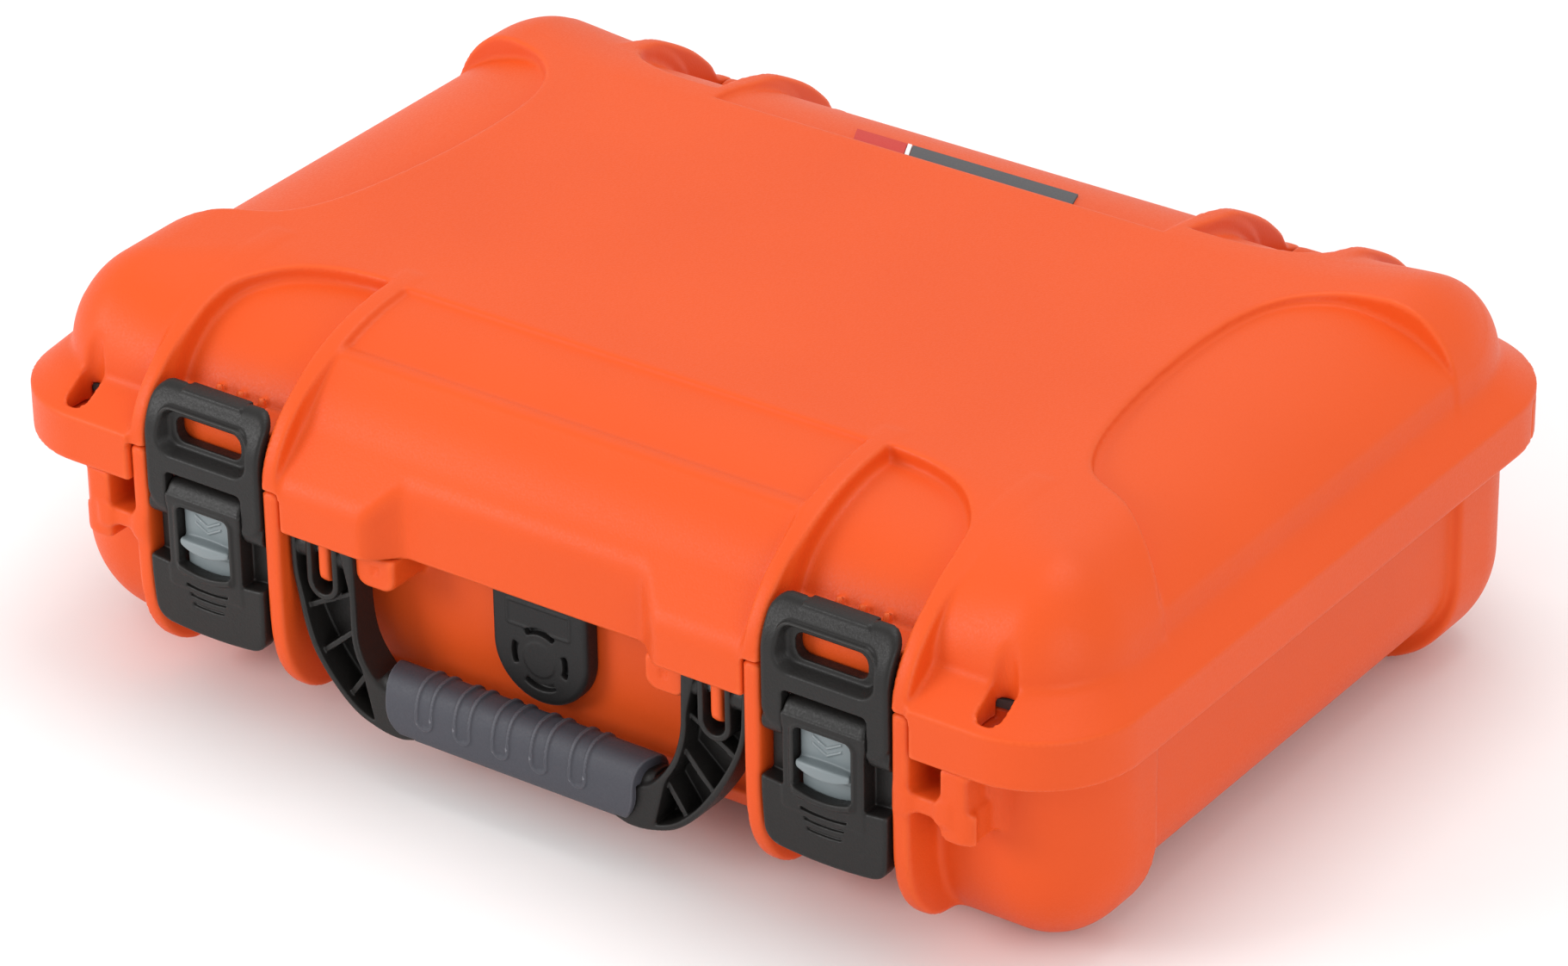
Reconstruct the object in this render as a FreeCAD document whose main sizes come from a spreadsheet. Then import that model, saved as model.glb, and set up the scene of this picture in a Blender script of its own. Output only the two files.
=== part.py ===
import FreeCAD, Part
import math
import os

import Sketcher
from FreeCAD import Placement, Rotation, Vector

# Hard equipment case: a two-part moulded shell with draw latches, a carrying handle and a pressure valve.
# Millimetres. +X is the case's right, -Y its front (handle and latches), +Z up.
# The origin lies under the middle of the case, on the plane its feet stand on.

os.makedirs("parts", exist_ok=True)
doc = FreeCAD.newDocument("equipment_case")

SIZES = {
    # base shell: half width, distance of front and back walls from the origin, corner radius
    "base_half": 174.5, "base_front": 122.0, "base_back": 110.0, "base_corner": 26.0,
    "base_bottom_round": 24.0, "parting": 78.0, "floor_top": 11.5, "foot_rise": 8.5,
    "cavity_inset": 6.3, "wall_inset": 5.0,
    "panel_recess": 2.5, "panel_front": 58.0, "panel_back": 67.0,
    "foot_inner": 116.0, "foot_wall": 4.0,
    # belt round the mouth
    "belt_half": 181.5, "belt_front": 138.0, "belt_back": 124.0, "belt_corner": 35.5,
    "belt_bottom": 66.4, "belt_shoulder": 81.0, "belt_skin": 3.0,
    "flange_half": 177.8, "flange_front": 134.3, "flange_back": 120.3, "flange_corner": 32.0,
    "flange_thick": 2.5, "rear_band": 98.0, "mouth_gap": 0.3,
    # middle of the skirt, drawn back to leave room for the hand
    "apron_half": 40.0, "apron_face": 130.0, "apron_back": 127.6, "apron_top": 84.2, "apron_gap": 0.7,
    # lid dome
    "dome_half": 173.6, "dome_front": 125.0, "dome_back": 112.0, "dome_corner": 23.0,
    "crease": 88.8, "case_top": 117.0, "dome_round": 21.0, "lid_skin": 3.5,
    "lid_cavity_half": 169.6, "lid_cavity_front": 118.8, "lid_cavity_back": 106.8,
    "vault_spring": 98.0, "vault_waist": 107.0,
    # seal
    "tongue_rise": 2.6, "tongue_outside": 1.2, "tongue_inside": 1.5, "groove_slack": 0.3,
    "groove_depth": 5.2, "seal_thick": 2.4,
    # ribs that flank the latches and the hinges
    "rib_thick": 5.3, "rib_inner": 77.8, "rib_outer": 124.6, "rib_face": 137.0,
    "fin_thick": 5.0, "fin_inner": 77.0, "fin_outer": 120.0,
    # hinge
    "hinge_y": 130.5, "hinge_z": 78.0, "knuckle_radius": 7.5, "hinge_pin_radius": 2.0,
    "running_clearance": 0.05, "barrel_gap": 0.4,
    # draw latches
    "latch_x": 103.9, "latch_half": 20.0, "pivot_y": 129.0, "pivot_z": 66.5, "pivot_pin_radius": 1.5,
    "link_y": 133.5, "link_z": 62.0, "link_pin_radius": 1.4, "link_pin_start": 9.6,
    "lever_face": 138.0, "lever_thick": 3.5, "lever_neck_half": 12.9, "lever_top": 70.3,
    "lever_shoulder": 46.0, "lever_bottom": 24.0, "window_half": 9.0, "window_low": 45.0,
    "window_high": 64.5, "barrel_radius": 3.8,
    "claw_face": 137.5, "claw_thick": 4.0, "claw_top": 99.0, "claw_bridge": 73.0, "claw_leg_in": 13.3,
    "claw_slot_low": 86.8, "claw_slot_high": 93.6, "claw_slot_half": 11.5, "knuckle": 3.4,
    "hook_back": 125.8, "hook_tip": 92.9, "hook_thick": 2.2, "hook_web": 3.2,
    "rail_face": 133.2, "rail_low": 85.0, "rail_floor": 92.4, "rail_top": 95.5, "rail_lip": 2.3,
    "slider_half": 8.6, "slider_face": 136.8, "slider_low": 50.0, "slider_high": 62.9, "flange_high": 59.4,
    "ledge_face": 138.0, "ledge_low": 52.2, "ledge_high": 55.8,
    "spring_radius": 1.5, "spring_wire": 0.4, "spring_low": 40.2, "spring_high": 47.8, "spring_turns": 5,
    # carrying handle
    "handle_y": 129.0, "handle_z": 61.5, "handle_pin_radius": 2.0, "handle_outer": 76.8,
    "tine_split_out": 69.4, "tine_split_in": 62.4, "handle_top_inner": 55.6, "handle_top": 67.0,
    "arm_front": 133.4, "arm_back": 124.6, "fork_bottom": 49.5,
    "grip_half": 46.0, "grip_low": 13.5, "grip_high": 33.5, "grip_front": 138.0, "grip_back": 124.4,
    "grip_core_inset": 3.2,
    # padlock eyes
    "eye_x": 152.0, "eye_y": 128.6, "eye_radius": 3.6, "eye_half": 2.4,
    "tab_start": 139.5, "tab_width": 17.0, "tab_face": 136.2, "tab_neck": 132.9, "tab_low": 44.0,
    "tab_high": 76.0, "tab_gap": 0.5,
    # pressure valve
    "valve_z": 47.0, "valve_half": 16.0, "valve_high": 64.0, "valve_thick": 5.6, "stem_radius": 6.8,
    "front_recess": 116.8, "front_bump": 113.0, "bump_half": 82.0,
    # name plate
    "plate_half": 39.0, "plate_front": 73.0, "plate_back": 85.0, "plate_thick": 0.8,
}

sheet = doc.addObject("Spreadsheet::Sheet", "sizes")
for row, (alias, value) in enumerate(SIZES.items(), start=1):
    sheet.set(f"A{row}", alias)
    sheet.set(f"B{row}", str(value))
    sheet.setAlias(f"B{row}", alias)
doc.recompute()


def size(alias):
    """A driving dimension, read from the sheet."""
    return float(sheet.get(alias))


def cell(alias):
    """The expression that binds a property to a driving dimension."""
    return f"sizes.{alias}"


# ---------------------------------------------------------------- sketch and feature helpers

def new_body(name):
    body = doc.addObject("PartDesign::Body", name)
    body.Label = name
    return body


def new_sketch(body, plane, name, lift=None):
    """An empty sketch on one of the body's own origin planes, lifted along its normal."""
    sketch = body.newObject("Sketcher::SketchObject", name)
    support = [item for item in body.Origin.OriginFeatures if item.Role == plane][0]
    sketch.AttachmentSupport = [(support, "")]
    sketch.MapMode = "FlatFace"
    if lift is not None:
        sketch.setExpression(".AttachmentOffset.Base.z", lift)
    return sketch


def rounded_rectangle(sketch, half, front, back, corner):
    """A fully constrained rounded rectangle on XY. The four sizes are expressions."""
    first = sketch.GeometryCount
    across, near, far, bend = 60.0, -40.0, 50.0, 8.0
    corners = [(across - bend, near + bend, -90), (across - bend, far - bend, 0),
               (-across + bend, far - bend, 90), (-across + bend, near + bend, 180)]
    sides = [((-across + bend, near), (across - bend, near)), ((across, near + bend), (across, far - bend)),
             ((across - bend, far), (-across + bend, far)), ((-across, far - bend), (-across, near + bend))]
    for (start, end), (middle_x, middle_y, angle) in zip(sides, corners):
        sketch.addGeometry(Part.LineSegment(Vector(*start, 0), Vector(*end, 0)))
        circle = Part.Circle(Vector(middle_x, middle_y, 0), Vector(0, 0, 1), bend)
        sketch.addGeometry(Part.ArcOfCircle(circle, math.radians(angle), math.radians(angle + 90)))
    for side in range(4):
        line, arc, following = first + 2 * side, first + 2 * side + 1, first + (2 * side + 2) % 8
        sketch.addConstraint(Sketcher.Constraint("Tangent", line, 2, arc, 1))
        sketch.addConstraint(Sketcher.Constraint("Tangent", arc, 2, following, 1))
        sketch.addConstraint(Sketcher.Constraint("Vertical" if side % 2 else "Horizontal", line))
    for side in range(1, 4):
        sketch.addConstraint(Sketcher.Constraint("Equal", first + 1, first + 1 + 2 * side))
    bound = [("DistanceX", (-1, 1, first + 2, 1), half), ("DistanceX", (first + 6, 1, -1, 1), half),
             ("DistanceY", (first, 1, -1, 1), front), ("DistanceY", (-1, 1, first + 4, 1), back)]
    for kind, places, expression in bound:
        number = sketch.addConstraint(Sketcher.Constraint(kind, *places, 50.0))
        sketch.setExpression(f"Constraints[{number}]", expression)
    number = sketch.addConstraint(Sketcher.Constraint("Radius", first + 1, bend))
    sketch.setExpression(f"Constraints[{number}]", corner)


def outline(sketch, *points):
    """A closed outline. A point is (u, v); (u, v, "via") is a point that an arc passes through."""
    loop = list(points) + [points[0]]
    place = 0
    while place < len(loop) - 1:
        start = Vector(loop[place][0], loop[place][1], 0)
        if len(loop[place + 1]) == 3:
            via = Vector(loop[place + 1][0], loop[place + 1][1], 0)
            end = Vector(loop[place + 2][0], loop[place + 2][1], 0)
            sketch.addGeometry(Part.Arc(start, via, end))
            place += 2
        else:
            end = Vector(loop[place + 1][0], loop[place + 1][1], 0)
            sketch.addGeometry(Part.LineSegment(start, end))
            place += 1
    return sketch


def circle(sketch, middle, radius):
    sketch.addGeometry(Part.Circle(Vector(middle[0], middle[1], 0), Vector(0, 0, 1), radius))
    return sketch


def rectangle(sketch, low, high):
    return outline(sketch, low, (high[0], low[1]), high, (low[0], high[1]))


def extrude(body, kind, name, sketch, length, reverse=False, both=False):
    """Pad or Pocket of a sketch, with its length bound to an expression."""
    feature = body.newObject(f"PartDesign::{kind}", name)
    feature.Profile = sketch
    feature.setExpression("Length", length)
    feature.Reversed = reverse
    if both:
        feature.SideType = "Symmetric"
    sketch.Visibility = False
    body.Tip = feature
    return feature


def checked_cut(body, feature):
    """Stop if a cutting feature removed nothing."""
    doc.recompute()
    if feature.Shape.Volume >= feature.BaseFeature.Shape.Volume - 0.01:
        raise RuntimeError(f"{body.Label}: {feature.Label} cuts nothing")


def round_edges(body, name, radius, test):
    """Fillet the edges of the current solid whose end points all pass a test."""
    doc.recompute()
    base = body.Tip
    names = [f"Edge{number}" for number, edge in enumerate(base.Shape.Edges, start=1)
             if all(test(vertex.Point) for vertex in edge.Vertexes)]
    feature = body.newObject("PartDesign::Fillet", name)
    feature.Base = (base, names)
    feature.setExpression("Radius", radius)
    body.Tip = feature
    doc.recompute()
    return feature


def mirror_left(body, name, *features):
    """Repeat features on the other side of the case's middle plane."""
    doc.recompute()
    mirror = body.newObject("PartDesign::Mirrored", name)
    mirror.Originals = list(features)
    plane = [item for item in body.Origin.OriginFeatures if item.Role == "YZ_Plane"][0]
    mirror.MirrorPlane = (plane, [""])
    body.Tip = mirror
    doc.recompute()
    return mirror


def side_slab(body, kind, name, start, length, draw):
    """Pad or Pocket of a YZ profile between |x| = start and start + length, on the right side."""
    sketch = new_sketch(body, "YZ_Plane", f"{name}_sketch", start)
    draw(sketch)
    return extrude(body, kind, name, sketch, length, reverse=(kind == "Pocket"))


def rod(low, high, radius):
    """A cylinder between two points."""
    axis = Vector(*high) - Vector(*low)
    return Part.makeCylinder(radius, axis.Length, Vector(*low), axis)


# ---------------------------------------------------------------- base shell

def base_shell():
    body = new_body("base_shell")
    walls = new_sketch(body, "XY_Plane", "base_walls")
    rounded_rectangle(walls, cell("base_half"), cell("base_front"), cell("base_back"), cell("base_corner"))
    extrude(body, "Pad", "base_block", walls, cell("parting"))
    round_edges(body, "base_bottom_fillet", cell("base_bottom_round"), lambda p: p.z < 0.01)

    # the side walls step in between the corner posts, and the underside rises between the feet
    side = new_sketch(body, "XY_Plane", "side_panels")
    reach = size("base_half") - size("panel_recess")
    for left, right in ((reach, 200.0), (-200.0, -reach)):
        rectangle(side, (left, -size("panel_front")), (right, size("panel_back")))
    panels = extrude(body, "Pocket", "side_panel_recess", side, cell("belt_bottom"), reverse=True)
    checked_cut(body, panels)
    under = new_sketch(body, "XY_Plane", "underside")
    inner, front, back = size("foot_inner"), -size("panel_front"), size("panel_back")
    outline(under, (-inner, -200), (inner, -200), (inner, front), (200, front), (200, back), (inner, back),
            (inner, 200), (-inner, 200), (-inner, back), (-200, back), (-200, front), (-inner, front))
    checked_cut(body, extrude(body, "Pocket", "underside_rise", under, cell("foot_rise"), reverse=True))

    flange = new_sketch(body, "XY_Plane", "mouth_flange", f"{cell('parting')} - {cell('flange_thick')}")
    rounded_rectangle(flange, cell("flange_half"), cell("flange_front"), cell("flange_back"),
                      cell("flange_corner"))
    extrude(body, "Pad", "flange_plate", flange, cell("flange_thick"))

    # front ribs: a straight face that curls under to the floor
    face, wall = -size("rib_face"), -size("base_front")
    ribs = []

    def rib_profile(sketch):
        outline(sketch, (wall + 12, size("parting")), (face, size("parting")), (face, 31.0),
                (face + 4.3, 19.5, "via"), (wall + 2, 13.0), (wall + 12, 12.0))

    for name in ("rib_inner", "rib_outer"):
        ribs.append(side_slab(body, "Pad", f"base_{name}", cell(name), cell("rib_thick"), rib_profile))
    # padlock tab beside the outer rib, joined to it by a web; its neck passes up inside the lid's belt
    tab_face, neck, low, high = -size("tab_face"), -size("tab_neck"), size("tab_low"), size("tab_high")
    step = size("belt_bottom") - size("tab_gap")
    tab = side_slab(body, "Pad", "padlock_tab", cell("tab_start"), cell("tab_width"), lambda sketch: outline(
        sketch, (wall + 6, high), (neck, high), (neck, step), (tab_face, step), (tab_face, low + 4),
        (tab_face + 1.7, low + 0.8, "via"), (tab_face + 5.2, low), (wall + 6, low)))
    web = side_slab(body, "Pad", "padlock_web", "129.0", "11.5", lambda sketch: rectangle(
        sketch, (tab_face, 50.0), (wall + 3, 55.5)))
    mirror_left(body, "front_ribs_left", *ribs, tab, web)

    # rear band closes the belt behind the hinge line
    band = new_sketch(body, "XY_Plane", "rear_band_sketch", cell("belt_bottom"))
    radius, start = size("belt_corner"), size("rear_band")
    middle_x, middle_y = size("belt_half") - radius, size("belt_back") - radius
    start_x = middle_x + math.sqrt(radius ** 2 - (start - middle_y) ** 2)
    bend_x, bend_y = middle_x + radius * 0.6, middle_y + radius * 0.8
    outline(band, (start_x, start), (bend_x, bend_y, "via"), (middle_x, size("belt_back")),
            (-middle_x, size("belt_back")), (-bend_x, bend_y, "via"), (-start_x, start))
    extrude(body, "Pad", "rear_band_block", band, f"{cell('parting')} - {cell('belt_bottom')}")
    hollow = new_sketch(body, "XY_Plane", "rear_band_hollow", cell("belt_bottom"))
    skin = size("belt_skin")
    rectangle(hollow, (-150, size("base_back")), (-size("fin_outer") - 8, size("belt_back") - skin))
    rectangle(hollow, (size("fin_outer") + 8, size("base_back")), (150, size("belt_back") - skin))
    rectangle(hollow, (-size("fin_inner") + 4, size("base_back")),
              (size("fin_inner") - 4, size("belt_back") - skin))
    checked_cut(body, extrude(body, "Pocket", "rear_band_core", hollow,
                              f"{cell('parting')} - {cell('belt_bottom')} - {cell('flange_thick')}",
                              reverse=True))

    # cavity, then a thick pad inside the front wall that lets the outside step back behind the handle
    mouth = new_sketch(body, "XY_Plane", "cavity_mouth", cell("floor_top"))
    rounded_rectangle(mouth, f"{cell('base_half')} - {cell('cavity_inset')}",
                      f"{cell('base_front')} - {cell('wall_inset')}",
                      f"{cell('base_back')} - {cell('wall_inset')}", "20")
    checked_cut(body, extrude(body, "Pocket", "cavity", mouth, "100", reverse=True))
    bump = new_sketch(body, "XY_Plane", "front_bump_sketch", f"{cell('floor_top')} - 1")
    rectangle(bump, (-size("bump_half"), -size("base_front") + 3), (size("bump_half"), -size("front_bump")))
    extrude(body, "Pad", "front_bump_pad", bump, f"{cell('belt_bottom')} + 3.5 - {cell('floor_top')}")
    recess = new_sketch(body, "XZ_Plane", "front_recess_sketch", cell("front_recess"))
    rectangle(recess, (-size("rib_inner"), 24.0), (size("rib_inner"), 69.0))
    checked_cut(body, extrude(body, "Pocket", "front_recess", recess, "30", reverse=True))
    round_edges(body, "cavity_fillet", "12", lambda p: abs(p.z - size("floor_top")) < 0.01
                and abs(p.x) < 168.3 and -117.1 < p.y < 105.1)

    # handle lugs on the stepped-back wall
    wall_y = -size("front_recess")
    lugs = []
    for name, start, width in (("retaining_lug", 41.0, 12.0), ("fork_lug", 64.0, 3.8)):
        lugs.append(side_slab(body, "Pad", name, str(start), str(width), lambda sketch: outline(
            sketch, (wall_y + 2, 69.5), (-133.0, 69.5), (-134.2, 62.0), (-133.0, 57.2, "via"), (-129.0, 55.6),
            (wall_y + 2, 55.6))))
    mirror_left(body, "handle_lugs_left", *lugs)

    # the flange is cut back for the swing of claw and lever, and behind the drawn-back middle of the skirt
    bay = new_sketch(body, "XY_Plane", "bay_cut", "70")
    for sign in (1, -1):
        edges = sorted((sign * (size("rib_inner") + size("rib_thick")), sign * size("rib_outer")))
        rectangle(bay, (edges[0], -150), (edges[1], -size("dome_front")))
    half = size("apron_half") + size("tab_gap")
    rectangle(bay, (-half, -150), (half, -size("apron_back") + size("apron_gap")))
    checked_cut(body, extrude(body, "Pocket", "latch_bays", bay, "30", reverse=True))

    # sealing tongue
    tongue = new_sketch(body, "XY_Plane", "tongue_sketch", cell("parting"))
    for offset in ("tongue_outside", "tongue_inside"):
        sign = "+" if offset == "tongue_outside" else "-"
        rounded_rectangle(tongue, f"{cell('base_half')} {sign} {cell(offset)}",
                          f"{cell('base_front')} {sign} {cell(offset)}",
                          f"{cell('base_back')} {sign} {cell(offset)}",
                          f"{cell('base_corner')} {sign} {cell(offset)}")
    extrude(body, "Pad", "tongue", tongue, cell("tongue_rise"))

    # hinge barrels between the lid's fins
    axis_y, axis_z, radius = size("hinge_y"), size("hinge_z"), size("knuckle_radius")
    barrel_start = size("fin_inner") + size("fin_thick") + size("barrel_gap")
    barrel_length = size("fin_outer") - size("barrel_gap") - barrel_start

    def barrel_profile(sketch):
        outline(sketch, (108.0, 66.4), (128.0, 66.4), (axis_y + radius * 0.866, axis_z - radius / 2),
                (axis_y + radius / 2, axis_z + radius * 0.866, "via"), (axis_y - radius, axis_z),
                (108.0, axis_z))

    barrel = side_slab(body, "Pad", "hinge_barrel", str(barrel_start), str(barrel_length), barrel_profile)
    room = []
    for name in ("fin_inner", "fin_outer"):
        room.append(side_slab(body, "Pocket", f"{name}_room", f"{cell(name)} - 0.6",
                              f"{cell('fin_thick')} + 1.2",
                              lambda sketch: circle(sketch, (axis_y, axis_z), radius + 0.8)))
    bore = side_slab(body, "Pocket", "hinge_bore", "70", "60",
                     lambda sketch: circle(sketch, (axis_y, axis_z), size("hinge_pin_radius")))
    mirror_left(body, "hinge_left", barrel, *room, bore)

    # holes: latch pivot pins in the ribs, handle pins, padlock eyes, valve stem
    holes = [side_slab(body, "Pocket", "pivot_hole", "80.4", "47",
                       lambda sketch: circle(sketch, (-size("pivot_y"), size("pivot_z")),
                                             size("pivot_pin_radius"))),
             side_slab(body, "Pocket", "handle_hole", "43", "37.4",
                       lambda sketch: circle(sketch, (-size("handle_y"), size("handle_z")),
                                             size("handle_pin_radius")))]
    mirror_left(body, "pin_holes_left", *holes)
    eye = new_sketch(body, "XY_Plane", "padlock_eyes", "43")
    padlock_outline(eye)
    checked_cut(body, extrude(body, "Pocket", "padlock_eye_cut", eye, "60", reverse=True))
    stem = new_sketch(body, "XZ_Plane", "stem_hole", "100")
    circle(stem, (0, size("valve_z")), size("stem_radius") + 0.2)
    checked_cut(body, extrude(body, "Pocket", "stem_bore", stem, "40", reverse=True))

    # feet are cored from below
    cores = new_sketch(body, "XY_Plane", "foot_cores")
    thick = size("foot_wall")
    for sign in (1, -1):
        left, right = sorted((sign * (size("foot_inner") + thick), sign * 146.0))
        rectangle(cores, (left, -94.0), (right, -size("panel_front") - thick))
        rectangle(cores, (left, size("panel_back") + thick), (right, 82.0))
    checked_cut(body, extrude(body, "Pocket", "foot_coring", cores, f"{cell('foot_rise')} - 1", reverse=True))
    return body


def padlock_outline(sketch):
    """Obround holes near the front corners, wide enough for a padlock shackle and longer front to back."""
    radius, half, middle = size("eye_radius"), size("eye_half"), -size("eye_y")
    for sign in (1, -1):
        x = sign * size("eye_x")
        outline(sketch, (x - radius, middle - half), (x, middle - half - radius, "via"),
                (x + radius, middle - half), (x + radius, middle + half),
                (x, middle + half + radius, "via"), (x - radius, middle + half))


# ---------------------------------------------------------------- lid shell

def lid_shell():
    body = new_body("lid_shell")
    belt = new_sketch(body, "XY_Plane", "belt_sketch", cell("belt_bottom"))
    rounded_rectangle(belt, cell("belt_half"), cell("belt_front"), cell("belt_back"), cell("belt_corner"))
    extrude(body, "Pad", "belt", belt, f"{cell('belt_shoulder')} - {cell('belt_bottom')}")
    low = new_sketch(body, "XY_Plane", "shoulder_low", cell("belt_shoulder"))
    rounded_rectangle(low, cell("belt_half"), cell("belt_front"), cell("belt_back"), cell("belt_corner"))
    high = new_sketch(body, "XY_Plane", "shoulder_high", cell("crease"))
    rounded_rectangle(high, cell("dome_half"), cell("dome_front"), cell("dome_back"), cell("dome_corner"))
    slope = body.newObject("PartDesign::AdditiveLoft", "belt_slope")
    slope.Profile = low
    slope.Sections = [high]
    slope.Ruled = True
    body.Tip = slope
    dome = new_sketch(body, "XY_Plane", "dome_sketch", cell("crease"))
    rounded_rectangle(dome, cell("dome_half"), cell("dome_front"), cell("dome_back"), cell("dome_corner"))
    extrude(body, "Pad", "dome", dome, f"{cell('case_top')} - {cell('crease')}")
    round_edges(body, "dome_fillet", cell("dome_round"), lambda p: abs(p.z - size("case_top")) < 0.01)

    # hollows: under the belt, the inside of the lid, and the seal groove
    skirt = new_sketch(body, "XY_Plane", "skirt_hollow", cell("belt_bottom"))
    skin = cell("belt_skin")
    rounded_rectangle(skirt, f"{cell('belt_half')} - {skin}", f"{cell('belt_front')} - {skin}",
                      f"{cell('belt_back')} - {skin}", f"{cell('belt_corner')} - {skin}")
    checked_cut(body, extrude(body, "Pocket", "skirt_core", skirt,
                              f"{cell('parting')} + {cell('mouth_gap')} - {cell('belt_bottom')}",
                              reverse=True))
    inside = new_sketch(body, "XY_Plane", "lid_cavity", cell("belt_bottom"))
    rounded_rectangle(inside, cell("lid_cavity_half"), cell("lid_cavity_front"), cell("lid_cavity_back"), "21")
    checked_cut(body, extrude(body, "Pocket", "lid_inside", inside,
                              f"{cell('vault_spring')} - {cell('belt_bottom')}", reverse=True))
    # the ceiling of the lid narrows in two steps under the rounded dome
    levels = [(cell("vault_spring"), 0.0, 21.0), (cell("vault_waist"), 3.0, 19.0),
              (f"{cell('case_top')} - {cell('lid_skin')}", 15.0, 9.0)]
    sections = []
    for number, (level, inset, corner) in enumerate(levels):
        section = new_sketch(body, "XY_Plane", f"vault_{number}", level)
        rounded_rectangle(section, f"{cell('lid_cavity_half')} - {inset}",
                          f"{cell('lid_cavity_front')} - {inset}",
                          f"{cell('lid_cavity_back')} - {inset}", str(corner))
        sections.append(section)
    vault = body.newObject("PartDesign::SubtractiveLoft", "vault")
    vault.Profile = sections[0]
    vault.Sections = sections[1:]
    vault.Ruled = True
    body.Tip = vault
    checked_cut(body, vault)

    # the skirt stops at the rear band and stays clear of the base's ribs
    clear = new_sketch(body, "XY_Plane", "skirt_ends", f"{cell('belt_bottom')} - 1")
    rectangle(clear, (-200, size("rear_band") - 0.5), (200, 140))
    for sign in (1, -1):
        left, right = sorted((sign * (size("rib_inner") - 0.4),
                              sign * (size("rib_outer") + size("rib_thick") + 0.4)))
        rectangle(clear, (left, -150), (right, -size("dome_front") + 1))
    checked_cut(body, extrude(body, "Pocket", "skirt_trim", clear,
                              f"{cell('parting')} + {cell('mouth_gap')} - {cell('belt_bottom')} + 1",
                              reverse=True))
    bays = new_sketch(body, "XY_Plane", "lid_bays", f"{cell('parting')} - 1")
    for sign in (1, -1):
        left, right = sorted((sign * (size("rib_inner") + size("rib_thick")), sign * size("rib_outer")))
        rectangle(bays, (left, -150), (right, -size("dome_front")))
        left, right = sorted((sign * (size("fin_inner") + size("fin_thick")), sign * size("fin_outer")))
        rectangle(bays, (left, size("dome_back") + 1.5), (right, 150))
    checked_cut(body, extrude(body, "Pocket", "lid_bay_cut", bays, "20", reverse=True))

    # the front skirt is scooped up between two S curves, and closed further back by a flat apron
    scoop = new_sketch(body, "XZ_Plane", "skirt_scoop", "128")
    outline(scoop, (-46, 60), (46, 60), (44, 70), (38, 80.5, "via"), (28, 84), (-28, 84),
            (-38, 80.5, "via"), (-44, 70))
    checked_cut(body, extrude(body, "Pocket", "skirt_scoop_cut", scoop, "20", reverse=True))
    apron = new_sketch(body, "XZ_Plane", "apron_sketch", cell("apron_back"))
    rectangle(apron, (-size("apron_half"), size("belt_bottom")), (size("apron_half"), size("apron_top")))
    extrude(body, "Pad", "apron", apron, f"{cell('apron_face')} - {cell('apron_back')}")

    # front ribs run from the parting line over the edge of the dome
    gap_z = size("parting") + size("mouth_gap")
    face = -size("rib_face")
    top = size("case_top")
    axis_y, axis_z, radius = size("hinge_y"), size("hinge_z"), size("knuckle_radius")

    def rib_profile(sketch):
        outline(sketch, (-124.0, gap_z), (face, gap_z), (face, 90.0), (-120.0, top - 7.5, "via"),
                (-80.0, top - 0.1), (-100.0, top - 2.5), (-119.5, 98.0))

    def fin_profile(sketch):
        """A fin ends in a knuckle beside the base's barrel."""
        outline(sketch, (107.5, gap_z), (axis_y - radius, gap_z), (axis_y, axis_z - radius, "via"),
                (axis_y + radius, axis_z), (axis_y + 5.5, 89.0), (114.0, top - 8.5, "via"),
                (76.0, top - 0.1), (94.0, top - 2.5), (107.5, 98.0))

    ribs = []
    for kind, profile in (("rib", rib_profile), ("fin", fin_profile)):
        for place in ("inner", "outer"):
            ribs.append(side_slab(body, "Pad", f"lid_{kind}_{place}", cell(f"{kind}_{place}"),
                                  cell(f"{kind}_thick"), profile))

    def rail_profile(sketch):
        outline(sketch, (-118.9, size("rail_low")), (-size("rail_face"), size("rail_low")),
                (-size("rail_face"), size("rail_top")),
                (-size("rail_face") + size("rail_lip"), size("rail_top")),
                (-size("rail_face") + size("rail_lip"), size("rail_floor")), (-118.9, size("rail_floor")))

    rail = side_slab(body, "Pad", "latch_rail", f"{cell('rib_inner')} + 5", "42.2", rail_profile)
    def tooth_profile(sketch):
        outline(sketch, (-118.9, 98.0), (-125.3, 98.0), (-125.3, 101.5), (-123.9, 103.6, "via"),
                (-121.0, 104.0), (-118.9, 104.0))

    teeth = [side_slab(body, "Pad", f"tooth_{number}", f"{cell('latch_x')} - 1.1 + {7.2 * (number - 2)}",
                       "2.2", tooth_profile)
             for number in (1, 2, 3)]
    mirror_left(body, "lid_details_left", *ribs, rail, *teeth)

    fin_bore = side_slab(body, "Pocket", "fin_bore", "70", "60", lambda sketch: circle(
        sketch, (axis_y, axis_z), size("hinge_pin_radius") + size("running_clearance")))
    room = side_slab(body, "Pocket", "barrel_room", f"{size('fin_inner') + size('fin_thick')}",
                     f"{size('fin_outer') - size('fin_inner') - size('fin_thick')}",
                     lambda sketch: circle(sketch, (axis_y, axis_z), radius + 0.9))
    mirror_left(body, "fin_bores_left", fin_bore, room)
    eye = new_sketch(body, "XY_Plane", "lid_padlock_eyes", "60")
    padlock_outline(eye)
    checked_cut(body, extrude(body, "Pocket", "lid_eye_cut", eye, "40", reverse=True))
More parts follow.
